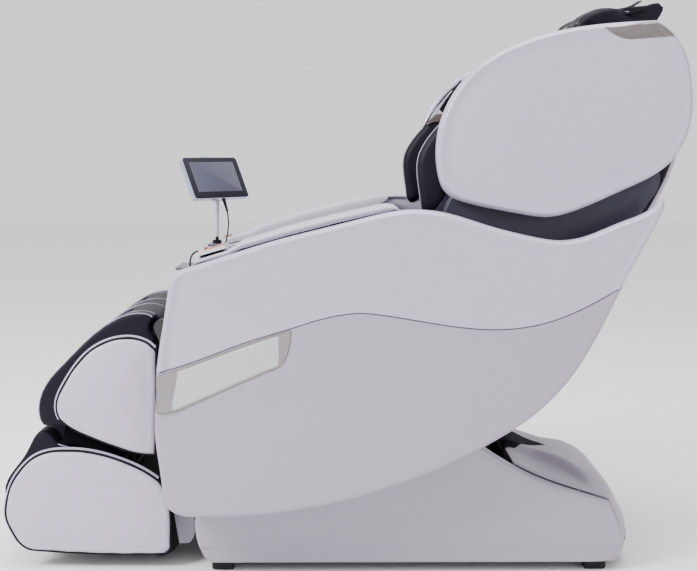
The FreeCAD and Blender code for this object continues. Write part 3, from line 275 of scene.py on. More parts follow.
def evenly(line: Points, count: int) -> Points:
    """Returns a line's points again, at count even places along it."""
    steps = np.linalg.norm(np.diff(line, axis=0), axis=1)
    along = np.concatenate([[0], np.cumsum(steps)])
    at = np.linspace(0, along[-1], count)
    return np.stack([np.interp(at, along, column) for column in line.T], 1)


def run_length(line: Points) -> float:
    """Returns the length of a line of points."""
    return float(np.linalg.norm(np.diff(line, axis=0), axis=1).sum())


def new_object(
    name: str, verts: Points, faces: list, finish: Finish, crease: float = CREASE
) -> bpy.types.Object:
    """Makes a closed, smooth-shaded object with its faces outward.

    Args:
        name: the object's name.
        verts: its corners, in metres.
        faces: its faces, as indices of corners.
        finish: its material.
        crease: edges that turn by more than this many degrees stay sharp.

    Returns:
        The object, linked to the scene.
    """
    mesh = bpy.data.meshes.new(name)
    mesh.from_pydata([tuple(v) for v in verts], [], [tuple(f) for f in faces])
    work = bmesh.new()
    work.from_mesh(mesh)
    bmesh.ops.remove_doubles(work, verts=work.verts, dist=1e-6)
    bmesh.ops.recalc_face_normals(work, faces=work.faces)
    work.to_mesh(mesh)
    work.free()
    mesh.shade_smooth()
    mesh.set_sharp_from_angle(angle=math.radians(crease))
    mesh.materials.append(finish.material())
    return placed(name, mesh)


def mirrored(source: bpy.types.Object, name: str) -> bpy.types.Object:
    """Returns a copy of a piece on the other side of the chair.

    Args:
        source: the left piece.
        name: the new piece's name.

    Returns:
        The right piece.
    """
    mesh = source.data.copy()
    flat = np.empty(len(mesh.vertices) * 3)
    mesh.vertices.foreach_get("co", flat)
    flat[1::3] *= -1
    mesh.vertices.foreach_set("co", flat)
    mesh.flip_normals()
    mesh.update()
    return placed(name, mesh)


def attach(piece: bpy.types.Object, body: str, finish: Finish, *nodes: str) -> bpy.types.Object:
    """Makes a piece ride on a body and stand for CAD nodes, which it hides.

    Args:
        piece: the piece.
        body: the body that it moves with.
        finish: its finish; not used.
        nodes: the CAD nodes that it stands for.

    Returns:
        The same piece.
    """
    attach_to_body(piece, body)
    if nodes:
        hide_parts(*nodes)
    LOG.info("%s rides on %s", piece.name, body)
    return piece


def face_loop(frame: dict, node: str, plane: float) -> Points:
    """Returns the longest outline, in X and Z, of a CAD node's faces that lie in a plane across Y.

    Args:
        frame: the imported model.
        node: the CAD node.
        plane: the place of the faces along Y.

    Returns:
        The outline, anticlockwise in X and Z.
    """
    mesh = frame["nodes"][node].data
    edges: set = set()
    for face in mesh.polygons:
        corners = [mesh.vertices[i].co for i in face.vertices]
        if max(abs(c.y - plane) for c in corners) > 3e-5:
            continue
        keys = [(round(c.x, 5), round(c.z, 5)) for c in corners]
        for a, b in zip(keys, keys[1:] + keys[:1]):
            if (b, a) in edges:
                edges.remove((b, a))
            elif a != b:
                edges.add((a, b))
    ways = dict(edges)
    loops = []
    while ways:
        start, here = ways.popitem()
        loop = [start]
        while here in ways:
            loop.append(here)
            here = ways.pop(here)
        loops.append(loop)
    loop = np.array(max(loops, key=len))
    x, z = loop[:, 0], loop[:, 1]
    area = np.sum(x * np.roll(z, -1) - np.roll(x, -1) * z)
    return loop if area > 0 else loop[::-1]


def resampled(loop: Points, step: float, corner: float = 24) -> Points:
    """Returns a closed outline with even spacing that keeps its corners.

    Args:
        loop: the outline.
        step: the spacing, in metres.
        corner: a turn of more degrees than this is kept.

    Returns:
        The new outline.
    """
    before = loop - np.roll(loop, 1, 0)
    after = np.roll(loop, -1, 0) - loop
    turn = np.arctan2(
        before[:, 0] * after[:, 1] - before[:, 1] * after[:, 0], (before * after).sum(1)
    )
    corners = list(np.nonzero(np.abs(np.degrees(turn)) > corner)[0]) or [0]
    result = []
    for first, last in zip(corners, corners[1:] + [corners[0] + len(loop)]):
        span = loop[np.arange(first, last + 1) % len(loop)]
        steps = np.linalg.norm(np.diff(span, axis=0), axis=1)
        count = max(1, round(np.cumsum(steps)[-1] / step))
        result.append(evenly(span, count + 1)[:-1])
    return np.concatenate(result)


def distance(points: Points, starts: Points, ends: Points) -> Points:
    """Returns each point's distance to the nearest of the segments.

    Args:
        points: the places to measure from.
        starts: where each segment starts.
        ends: where each segment ends.

    Returns:
        One distance for each place.
    """
    if len(starts) == 0:
        return np.full(len(points), 9.0)
    along = ends - starts
    length = (along**2).sum(1) + 1e-18
    result = np.empty(len(points))
    for i in range(0, len(points), 1500):
        part = points[i : i + 1500, None, :] - starts[None]
        t = np.clip((part * along[None]).sum(2) / length, 0, 1)
        gap = part - t[..., None] * along[None]
        result[i : i + 1500] = np.sqrt((gap**2).sum(2).min(1))
    return result


def inside(points: Points, loop: Points) -> Points:
    """Returns which points lie in a closed outline.

    Args:
        points: the places.
        loop: the closed outline.

    Returns:
        True for each place within it.
    """
    a, b = loop, np.roll(loop, -1, 0)
    result = np.zeros(len(points), bool)
    for (ax, az), (bx, bz) in zip(a, b):
        if az == bz:
            continue
        crosses = (az > points[:, 1]) != (bz > points[:, 1])
        result ^= crosses & (points[:, 0] < (bx - ax) * (points[:, 1] - az) / (bz - az) + ax)
    return result


def fillet(d: Points, radius: float) -> Points:
    """Returns how far a rounded edge falls away at a distance from the edge."""
    left = np.clip(radius - d, 0, radius)
    return radius - np.sqrt(np.maximum(radius**2 - left**2, 0))


def ridge(d: Points, centre: float, width: float) -> Points:
    """Returns a smooth bump of height one about a distance."""
    return np.exp(-(((d - centre) / width) ** 2))


def step_up(value: Points) -> Points:
    """Returns a smooth step from nothing at 0 to one at 1."""
    t = np.clip(value, 0, 1)
    return t * t * (3 - 2 * t)


@dataclass
class Crowned:
    """A flat outline turned into a moulded or upholstered piece with a shaped face.

    front and back give the depth behind the plane, from places in X and Z and a table of
    distances: column 0 to the free edges and column 1 to the edges that meet a neighbour.
    """

    loop: Points
    plane: float
    outward: int
    front: Profile
    back: Profile
    rings: tuple[float, ...] = (0.0012, 0.003, 0.0055, 0.009, 0.013, 0.018, 0.025, 0.034)
    step: float = 0.014
    edge_step: float = 0.006
    met: Points | None = None

    def build(self, name: str, finish: Finish) -> bpy.types.Object:
        """Returns the closed object."""
        loop = resampled(self.loop, self.edge_step)
        ends = np.roll(loop, -1, 0)
        places = [loop]
        normal = inward(loop)
        for depth in self.rings:
            ring = loop + normal * depth
            keep = (distance(ring, loop, ends) > depth * 0.985) & inside(ring, loop)
            places.append(ring[keep][:: 1 if depth < 0.02 else 2])
        low, high = loop.min(0), loop.max(0)
        xs = np.arange(low[0], high[0], self.step)
        zs = np.arange(low[1], high[1], self.step * 0.87)
        grid = np.array([(x + (j % 2) * self.step / 2, z) for j, z in enumerate(zs) for x in xs])
        grid = grid[inside(grid, loop)]
        grid = grid[distance(grid, loop, ends) > self.rings[-1] + self.step * 0.45]
        places.append(grid)
        flat = np.concatenate(places)
        solved = geometry.delaunay_2d_cdt(
            [Vector(p) for p in flat], [], [list(range(len(loop)))], 1, 1e-7
        )
        flat = np.array([tuple(v) for v in solved[0]])
        triangles = [list(f) for f in solved[2]]
        middle = (loop + ends) / 2
        meets = np.zeros(len(loop), bool)
        if self.met is not None:
            meets = distance(middle, self.met, np.roll(self.met, -1, 0)) < 0.0032
        table = np.stack(
            [distance(flat, loop[~meets], ends[~meets]), distance(flat, loop[meets], ends[meets])],
            1
        )
        face = self.front(flat, table)
        rear = np.maximum(self.back(flat, table), face + 0.0015)
        front = np.stack([flat[:, 0], self.plane - self.outward * face, flat[:, 1]], 1)
        back = np.stack([flat[:, 0], self.plane - self.outward * rear, flat[:, 1]], 1)
        count = len(flat)
        edges: dict = {}
        for tri in triangles:
            for a, b in zip(tri, tri[1:] + tri[:1]):
                edges[(a, b)] = (b, a) not in edges
                if not edges[(a, b)]:
                    edges[(b, a)] = False
        faces = list(triangles) + [[i + count for i in reversed(t)] for t in triangles]
        faces += [[a, a + count, b + count, b] for (a, b), open_edge in edges.items() if open_edge]
        return new_object(name, np.concatenate([front, back]), faces, finish)


def lofted(
    name: str, sections: list[Points], finish: Finish, crease: float = CREASE
) -> bpy.types.Object:
    """Returns a closed solid through closed sections of equal length.

    Args:
        name: the object's name.
        sections: the closed sections, in order.
        finish: its material.
        crease: edges that turn by more degrees stay sharp.

    Returns:
        The solid.
    """
    count = len(sections[0])
    faces = []
    for i in range(len(sections) - 1):
        for j in range(count):
            k = (j + 1) % count
            faces.append([i * count + j, i * count + k, (i + 1) * count + k, (i + 1) * count + j])
    faces.append(list(range(count))[::-1])
    faces.append([(len(sections) - 1) * count + j for j in range(count)])
    return new_object(name, np.concatenate(sections), faces, finish, crease)


def sheet_solid(name: str, grid: Points, thickness: float, finish: Finish) -> bpy.types.Object:
    """Returns a closed sheet of even thickness under a grid of points.

    Args:
        name: the object's name.
        grid: the outer face, as rows of points.
        thickness: how thick the sheet is.
        finish: its material.

    Returns:
        The sheet.
    """
    rows, columns, _ = grid.shape
    across = np.gradient(grid, axis=0)
    along = np.gradient(grid, axis=1)
    normal = unit(np.cross(across, along))
    verts = np.concatenate([grid.reshape(-1, 3), (grid - normal * thickness).reshape(-1, 3)])
    count = rows * columns

    def at(i: int, j: int) -> int:
        """Returns the index of a grid point."""
        return i * columns + j

    faces = []
    for i in range(rows - 1):
        for j in range(columns - 1):
            quad = [at(i, j), at(i + 1, j), at(i + 1, j + 1), at(i, j + 1)]
            faces += [quad, [q + count for q in reversed(quad)]]
    border = [at(i, 0) for i in range(rows)] + [at(rows - 1, j) for j in range(1, columns)]
    border += [at(i, columns - 1) for i in range(rows - 2, -1, -1)]
    border += [at(0, j) for j in range(columns - 2, 0, -1)]
    for a, b in zip(border, border[1:] + border[:1]):
        faces.append([a, b, b + count, a + count])
    return new_object(name, verts, faces, finish)


def swept(
    name: str, path: Points, radius: float, finish: Finish, closed: bool = False, sides: int = 10
) -> bpy.types.Object:
    """Returns a round bar along a path.

    Args:
        name: the object's name.
        path: the middle line.
        radius: the radius of the bar.
        finish: its material.
        closed: whether its ends join.
        sides: the number of flats round it.

    Returns:
        The bar.
    """
    path = np.asarray(path, float)
    if closed:
        tangent = np.roll(path, -1, 0) - np.roll(path, 1, 0)
    else:
        tangent = np.gradient(path, axis=0)
    tangent = unit(tangent)
    side = np.cross(tangent[0], (0.3, 1.0, 0.2))
    sections = []
    for place, way in zip(path, tangent):
        side = side - way * side.dot(way)
        side /= np.linalg.norm(side)
        other = np.cross(way, side)
        turns = np.arange(sides) * 2 * math.pi / sides
        sections.append(
            place + radius * (np.cos(turns)[:, None] * side + np.sin(turns)[:, None] * other)
        )
    if not closed:
        return lofted(name, sections, finish, BAR_CREASE)
    count, rings = sides, len(sections)
    faces = []
    shift = int(np.argmin(np.linalg.norm(sections[0] - sections[-1][0], axis=1)))
    for i in range(rings):
        for j in range(count):
            k, n = (j + 1) % count, (i + 1) % rings
            off = shift if n == 0 else 0
            faces.append(
                [
                    i * count + j,
                    i * count + k,
                    n * count + (k + off) % count,
                    n * count + (j + off) % count,
                ]
            )
    return new_object(name, np.concatenate(sections), faces, finish, BAR_CREASE)


def coordinates(mesh: bpy.types.Mesh) -> tuple[Points, Points]:
    """Returns a mesh's corners and their normals."""
    co = np.empty(len(mesh.vertices) * 3)
    mesh.vertices.foreach_get("co", co)
    normal = np.empty(len(mesh.vertices) * 3)
    mesh.vertex_normals.foreach_get("vector", normal)
    return co.reshape(-1, 3), normal.reshape(-1, 3)


def evaluated(source: bpy.types.Object, name: str) -> bpy.types.Object:
    """Returns a plain mesh of an object with its modifiers applied, and removes the source.

    Args:
        source: the object to apply.
        name: the new object's name.

    Returns:
        The plain object.
    """
    bpy.context.view_layer.update()
    graph = bpy.context.evaluated_depsgraph_get()
    mesh = bpy.data.meshes.new_from_object(source.evaluated_get(graph))
    bpy.data.objects.remove(source)
    mesh.name = name
    return placed(name, mesh)


@dataclass
class Upholstered:
    """A CAD block turned into a soft, rounded piece: remeshed, relaxed and grooved.

    voxel is the size of its cells, relax the number of smoothing passes, and shape returns
    how far each point moves along its normal.
    """

    voxel: float = 0.008
    relax: int = 12
    shape: Callable[[Points, Points], Points] | None = None

    def build(self, frame: dict, node: str, name: str, finish: Finish) -> bpy.types.Object:
        """Returns the soft piece made from a CAD node."""
        work = placed(name + "_work", frame["nodes"][node].data.copy())
        remesh = work.modifiers.new("cells", "REMESH")
        remesh.mode = "VOXEL"
        remesh.voxel_size = self.voxel
        remesh.use_smooth_shade = True
        soften = work.modifiers.new("relax", "SMOOTH")
        soften.factor = 0.5
        soften.iterations = self.relax
        piece = evaluated(work, name)
        if self.shape:
            co, normal = coordinates(piece.data)
            co = co + normal * self.shape(co, normal)[:, None]
            piece.data.vertices.foreach_set("co", co.ravel())
            piece.data.update()
        piece.data.materials.clear()
        piece.data.materials.append(finish.material())
        piece.data.shade_smooth()
        return piece


def paint(
    piece: bpy.types.Object, finishes: list[Finish], pick: Callable[[Vector, Vector], int]
) -> None:
    """Gives each face the finish that pick returns for its centre and normal.

    Args:
        piece: the piece to paint.
        finishes: the finishes to choose from.
        pick: gives the index of a finish.
    """
    piece.data.materials.clear()
    for finish in finishes:
        piece.data.materials.append(finish.material())
    for face in piece.data.polygons:
        face.material_index = pick(face.center, face.normal)


# ---------------------------------------------------------------- repeats by Geometry Nodes
class Repeat:
    """A node tree that sets small capsules or bolts along a path, at an even spacing."""

    def __init__(self, name: str, sides: int) -> None:
        """Builds the tree with named inputs: Spacing, Length, Radius and Finish."""
        self.tree = bpy.data.node_groups.new(name, "GeometryNodeTree")
        face = self.tree.interface
        face.new_socket("Geometry", in_out="INPUT", socket_type="NodeSocketGeometry")
        self.ids = {}
        for label, kind in (
            ("Spacing", "NodeSocketFloat"),
            ("Length", "NodeSocketFloat"),
            ("Radius", "NodeSocketFloat"),
            ("Finish", "NodeSocketMaterial"),
        ):
            self.ids[label] = face.new_socket(label, in_out="INPUT", socket_type=kind).identifier
        face.new_socket("Geometry", in_out="OUTPUT", socket_type="NodeSocketGeometry")
        add, link = self.tree.nodes.new, self.tree.links.new
        source, target = add("NodeGroupInput"), add("NodeGroupOutput")
        curve = add("GeometryNodeMeshToCurve")
        even = add("GeometryNodeResampleCurve")
        even.mode = "LENGTH"
        points = add("GeometryNodeCurveToPoints")
        points.mode = "EVALUATED"
        bar = add("GeometryNodeMeshCylinder")
        bar.inputs["Vertices"].default_value = sides
        place = add("GeometryNodeInstanceOnPoints")
        real = add("GeometryNodeRealizeInstances")
        smooth = add("GeometryNodeSetShadeSmooth")
        cover = add("GeometryNodeSetMaterial")
        link(source.outputs["Geometry"], curve.inputs["Mesh"])
        link(curve.outputs["Curve"], even.inputs["Curve"])
        link(source.outputs["Spacing"], even.inputs["Length"])
        link(even.outputs["Curve"], points.inputs["Curve"])
        link(source.outputs["Radius"], bar.inputs["Radius"])
        link(source.outputs["Length"], bar.inputs["Depth"])
        align = add("FunctionNodeAlignRotationToVector")
        align.axis = "Z"
        link(points.outputs["Tangent"], align.inputs["Vector"])
        link(points.outputs["Points"], place.inputs["Points"])
        link(bar.outputs["Mesh"], place.inputs["Instance"])
        link(align.outputs["Rotation"], place.inputs["Rotation"])
        link(place.outputs["Instances"], real.inputs["Geometry"])
        link(real.outputs["Geometry"], smooth.inputs["Geometry"])
        link(smooth.outputs["Geometry"], cover.inputs["Geometry"])
        link(source.outputs["Finish"], cover.inputs["Material"])
        link(cover.outputs["Geometry"], target.inputs["Geometry"])

    def along(
        self, name: str, path: Points, spacing: float, length: float, radius: float, finish: Finish
    ) -> bpy.types.Object:
        """Returns a plain mesh of the repeats along an open path.

        Args:
            name: the piece's name.
            path: the line to follow.
            spacing: the distance between repeats.
            length: the length of one.
            radius: the radius of one.
            finish: its material.

        Returns:
            The repeats as one piece.
        """
        mesh = bpy.data.meshes.new(name + "_path")
        edges = [(i, i + 1) for i in range(len(path) - 1)]
        mesh.from_pydata([tuple(p) for p in path], edges, [])
        line = placed(name + "_line", mesh)
        modifier = line.modifiers.new("repeat", "NODES")
        modifier.node_group = self.tree
        modifier[self.ids["Spacing"]] = spacing
        modifier[self.ids["Length"]] = length
        modifier[self.ids["Radius"]] = radius
        modifier[self.ids["Finish"]] = finish.material()
        piece = evaluated(line, name)
        if not piece.data.materials:
            piece.data.materials.append(finish.material())
        return piece


def spline(points: list[tuple[float, ...]], count: int = 60) -> Points:
    """Returns an even Catmull-Rom line through points of any dimension.

    Args:
        points: the points that it passes through.
        count: the number of points to return.

    Returns:
        The line.
    """
    p = np.array(points, float)
    p = np.concatenate([[2 * p[0] - p[1]], p, [2 * p[-1] - p[-2]]])
    rows = []
    for i in range(1, len(p) - 2):
        t = np.linspace(0, 1, 24, endpoint=False)[:, None]
        a, b, c, d = p[i - 1], p[i], p[i + 1], p[i + 2]
        rows.append(
            0.5 * (
                2 * b
                + (c - a) * t
                + (2 * a - 5 * b + 4 * c - d) * t**2
                + (3 * b - a - 3 * c + d) * t**3
            )
        )
    rows.append(p[-2][None])
    return evenly(np.concatenate(rows), count)


def in_back(up: float, y: float, out: float) -> tuple[float, float, float]:
    """Returns the point at a place up the backrest, across it and out towards the sitter.

    Args:
        up: how far up from the recline axis.
        y: the place across the chair.
        out: how far out towards the sitter.

    Returns:
        The point in metres.
    """
    c, s = math.cos(BACK_ANGLE), math.sin(BACK_ANGLE)
    return (BACK_PIVOT[0] + up * c - out * s, y, BACK_PIVOT[1] + up * s + out * c)


def in_leg(down: float, y: float, ahead: float) -> tuple[float, float, float]:
    """Returns the point at a place down the calf, across it and ahead of its pivot line.

    Args:
        down: how far down from the lift axis.
        y: the place across the chair.
        ahead: how far ahead.

    Returns:
        The point in metres.
    """
    c, s = math.cos(LEG_ANGLE), math.sin(LEG_ANGLE)
    return (LEG_PIVOT[0] - down * s - ahead * c, y, LEG_PIVOT[1] - down * c + ahead * s)


def on_pod(x: float, z: float) -> tuple[float, float]:
    """Returns the X and Z of a place along the pod's sloping top and above it."""
    c, s = math.cos(POD_ANGLE), math.sin(POD_ANGLE)
    return (POD_FOOT[0] + x * c - z * s, POD_FOOT[1] + x * s + z * c)


# ---------------------------------------------------------------- sub-assemblies
@dataclass
class SideShells:
    """The upper and lower moulded sides of the seat unit with their folds and badge plates."""

    frame: dict
    plane: float = -0.4135
    crown: float = 0.0045
    edge: float = 0.0105
    fold_inner: float = -0.270
    skin: float = 0.004

    def build(self) -> None:
        """Makes both sides."""
        upper = face_loop(self.frame, "side_upper_left", self.plane)
        lower = face_loop(self.frame, "side_lower_left", self.plane)
        self._side("side_upper", upper, lower, PEARL, self._upper_face)
        self._side("side_lower", lower, upper, PEARL_LOW, self._lower_face)
        self._badge()

    def _upper_face(self, flat: Points, gap: Points) -> Points:
        """A rolled top rim with a shallow hollow under it."""
        free, seam = gap[:, 0], gap[:, 1]
        face = (
            self.crown * np.exp(-((free / 0.07) ** 2))
            + fillet(free, self.edge)
            + fillet(seam, 0.002)
        )
        face -= 0.0028 * ridge(free, 0.010, 0.005)
        return face + 0.0026 * ridge(free, 0.026, 0.010)

    def _lower_face(self, flat: Points, gap: Points) -> Points:
        """A plain crowned face that rolls under towards the base."""
        free, seam = gap[:, 0], gap[:, 1]
        return (
            self.crown * np.exp(-((free / 0.06) ** 2))
            + fillet(free, self.edge)
            + fillet(seam, 0.0022)
        )

    def _rear(self, face: Profile) -> Profile:
        """The back of a skin: a rim at the border and a thin wall within it."""

        def back(flat: Points, gap: Points) -> Points:
            """Returns the depth of the inner face."""
            border = gap.min(1) < 0.0050
            return np.where(border, 0.0145, face(flat, gap) + self.skin)

        return back

    def _side(
        self, node: str, loop: Points, neighbour: Points, finish: Finish, face: Profile
    ) -> None:
        """The skin and the fold of one moulding, left and right, and the lower one's belly."""
        skin = Crowned(loop, self.plane, -1, face, self._rear(face), met=neighbour)
        left = skin.build(f"{node}_skin_left", finish)
        fold = self._fold(node, loop, finish)
        pieces = {
            "left": (left, fold),
            "right": (mirrored(left, f"{node}_skin_right"), mirrored(fold, f"{node}_fold_right")),
        }
        for side, (shell, turned) in pieces.items():
            attach(shell, "seat", finish, f"{node}_{side}")
            attach(turned, "seat", finish)
        if node == "side_lower":
            belly = self._belly(finish)
            attach(belly, "seat", finish)
            attach(mirrored(belly, "side_lower_belly_right"), "seat", finish)

    def _fold(self, node: str, loop: Points, finish: Finish) -> bpy.types.Object:
        """The front wall that turns in from the skin towards the sitter."""
        if node == "side_upper":
            line = [
                (-0.3935, 0.4945), (-0.384, 0.563), (-0.373, 0.626), (-0.359, 0.693),
                (-0.349, 0.7105),
            ]
        else:
            line = [
                (-0.330, 0.1712), (-0.355, 0.1765), (-0.3745, 0.192), (-0.3845, 0.234),
                (-0.3985, 0.361), (-0.3955, 0.43), (-0.3935, 0.4895),
            ]
        path = spline(line, 26)
        ys = np.concatenate([[-0.4085, -0.4045], np.linspace(-0.398, self.fold_inner, 8)])
        tuck = np.concatenate([[0.0065, 0.002], np.zeros(8)])
        way = np.gradient(path, axis=0)
        way /= np.linalg.norm(way, axis=1)[:, None]
        aside = np.stack([way[:, 1], -way[:, 0]], 1)
        grid = np.array(
            [
                [
                    (p[0] + n[0] * (0.0008 + t), y, p[1] + n[1] * (0.0008 + t))
                    for y, t in zip(ys, tuck)
                ]
                for p, n in zip(path, aside)
            ]
        )
        return sheet_solid(f"{node}_fold_left", grid, 0.0036, finish)

    def _belly(self, finish: Finish) -> bpy.types.Object:
        """The curved underside that faces the base."""
        centre, radius = (-0.284, 1.429), 1.2593
        first, last = math.asin(-0.037 / radius), math.asin(0.678 / radius)
        turns = np.linspace(first, last, 40)
        ys = np.linspace(-0.404, -0.300, 8)
        grid = np.array(
            [
                [
                    (centre[0] + radius * math.sin(a), y, centre[1] - radius * math.cos(a))
                    for a in turns
                ]
                for y in ys
            ]
        )
        return sheet_solid("side_lower_belly_left", grid, 0.0036, finish)

    def _badge(self) -> None:
        """The blank plate: a bright field in a darker frame."""
        loop = face_loop(self.frame, "badge_plates", -0.415)

        def face(flat: Points, gap: Points) -> Points:
            """Returns the depth of the plate, with its raised field."""
            field = (
                step_up((gap[:, 0] - 0.0045) / 0.0016)
                * (flat[:, 0] > -0.350)
                * (flat[:, 0] < -0.128)
            )
            return fillet(gap[:, 0], 0.001) + 0.0007 * field

        plate = Crowned(
            loop,
            -0.4152,
            -1,
            face,
            lambda flat, gap: np.full(len(flat), 0.0062),
            (0.001, 0.003, 0.0045, 0.006, 0.01),
            0.0035,
            0.003,
        )
        left = plate.build("badge_left", SILVER)

        def pick(centre: Vector, _: Vector) -> int:
            """Returns 1 on the frame and 0 on the field."""
            slant = centre.x - 0.18 * (centre.z - 0.45)
            edge = distance(np.array([[centre.x, centre.z]]), loop, np.roll(loop, -1, 0))[0]
            return 1 if slant < -0.353 or centre.x > -0.126 or edge < 0.0048 else 0

        paint(left, [SILVER, TAUPE_BRIGHT], pick)
        attach(left, "seat", SILVER, "badge_plates")
        for side, sign in SIDES:
            rim = resampled(loop, 0.006)
            line = np.stack([rim[:, 0], np.full(len(rim), sign * 0.4142), rim[:, 1]], 1)
            attach(swept(f"badge_line_{side}", line, 0.0009, TAUPE, closed=True), "seat", TAUPE)
        attach(mirrored(left, "badge_right"), "seat", SILVER)


@dataclass
class Base:
    """The floor base: side covers, rear hood with its dust guard, and feet."""

    frame: dict
    plane: float = -0.290
    hood_half: float = 0.2455
    scoop_depth: float = 0.020

    def build(self) -> None:
        """Makes the covers and the hood."""
        loop = face_loop(self.frame, "base_cover_left", self.plane)

        def face(flat: Points, gap: Points) -> Points:
            """Returns the depth of the cover, with its skirt band and rear roll."""
            x, z, d = flat[:, 0], flat[:, 1], gap[:, 0]
            skirt = 0.0050 * step_up((0.064 - z) / 0.004)
            top = (x > 0.33) * (z > 0.15) * (0.0016 * ridge(d, 0.0095, 0.0022))
            rear = 0.012 * np.exp(-(((0.672 - x) / 0.05) ** 2))
            return fillet(d, 0.006) + skirt + top + rear

        cover = Crowned(
            loop,
            self.plane,
            -1,
            face,
            lambda flat, gap: np.where(gap[:, 0] < 0.004, 0.040, face(flat, gap) + 0.004),
        )
        left = cover.build("base_side_left", PEARL_LOW)
        attach(left, "base", PEARL_LOW, "base_cover_left")
        attach(mirrored(left, "base_side_right"), "base", PEARL_LOW, "base_cover_right")
        self._hood()
        self._feet()

    def _cover_edge(self, count: int) -> Points:
        """Returns the side cover's outline from above the rollers, over the rear, to its foot."""
        loop = resampled(face_loop(self.frame, "base_cover_left", self.plane), 0.003)
        high = loop[:, 1] > 0.10
        first = int(np.argmin(np.where(high, np.abs(loop[:, 0] - 0.412), 9)))
        last = int(np.argmin(np.linalg.norm(loop - (0.672, 0.034), axis=1)))
        ahead = (last - first) % len(loop)
        way = np.arange(ahead + 1) if ahead < len(loop) / 2 else -np.arange(len(loop) - ahead + 1)
        return evenly(loop[(first + way) % len(loop)], count)

    def _hood(self) -> None:
        """The rear hood: a crown that falls to the side covers, with a scoop on each side."""
        crown = [
            (0.409, 0.252), (0.424, 0.2615), (0.480, 0.241), (0.520, 0.233), (0.560, 0.2225),
            (0.600, 0.208), (0.639, 0.188), (0.660, 0.163), (0.676, 0.132), (0.6925, 0.096),
            (0.6935, 0.030),
        ]
        profile = spline(crown, 90)
        edge = self._cover_edge(len(profile)) + (0.0, 0.001)
        ys = np.linspace(-self.hood_half, self.hood_half, 121)
        across = np.abs(ys) / self.hood_half
        grid = np.empty((len(profile), len(ys), 3))
        for i, (top, side) in enumerate(zip(profile, edge)):
            reach = np.hypot((top[0] - 0.440) / 0.182, (across - 1.06) / 0.80)
            scoop = step_up((1 - reach) / 0.13)
            height = (1 - scoop) * (1 - across**5) + scoop * (0.16 + 0.30 * (1 - across))
            height = np.where(across > 0.985, 0.0, height)
            grid[i, :, 0] = side[0] + (top[0] - side[0]) * height
            grid[i, :, 1] = ys
            grid[i, :, 2] = side[1] + (top[1] - side[1]) * height
        hood = sheet_solid("rear_hood", grid[:, ::-1], 0.004, PEARL_LOW)
        paint(
            hood,
            [PEARL_LOW, CLOTH],
            lambda centre, _: 1
            if abs(centre.y) < 0.118 - 0.95 * (centre.x - 0.405) and centre.z > 0.20
            else 0,
        )
        attach(hood, "base", PEARL_LOW, "base_rear_cover")
        front = spline([(0.432, 0.122), (0.4145, 0.200), (0.4105, 0.236)], 16)
        span = np.linspace(-0.240, 0.240, 9)
        guard = np.array([[(x, y, z) for y in span[::-1]] for x, z in front])
        attach(sheet_solid("dust_guard", guard, 0.003, BLACK), "base", BLACK)

    def _feet(self) -> None:
        """Rounded rubber feet."""
        for side, sign in SIDES:
            for end, x in (("front", -0.266), ("rear", 0.606)):
                sections = []
                for z, inset in ((0.0, 0.004), (0.0015, 0.0015), (0.005, 0.0), (0.0235, 0.0)):
                    turns = np.linspace(0, 2 * math.pi, 40, endpoint=False)
                    c, s = np.cos(turns), np.sin(turns)
                    bx = (0.026 - inset) * np.sign(c) * np.abs(c) ** 0.3
                    by = (0.020 - inset) * np.sign(s) * np.abs(s) ** 0.3
                    sections.append(np.stack([x + bx, sign * 0.242 + by, np.full(40, z)], 1))
                foot = lofted(f"foot_{end}_{side}", sections, RUBBER)
                attach(foot, "base", RUBBER)
        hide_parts("rubber_feet")


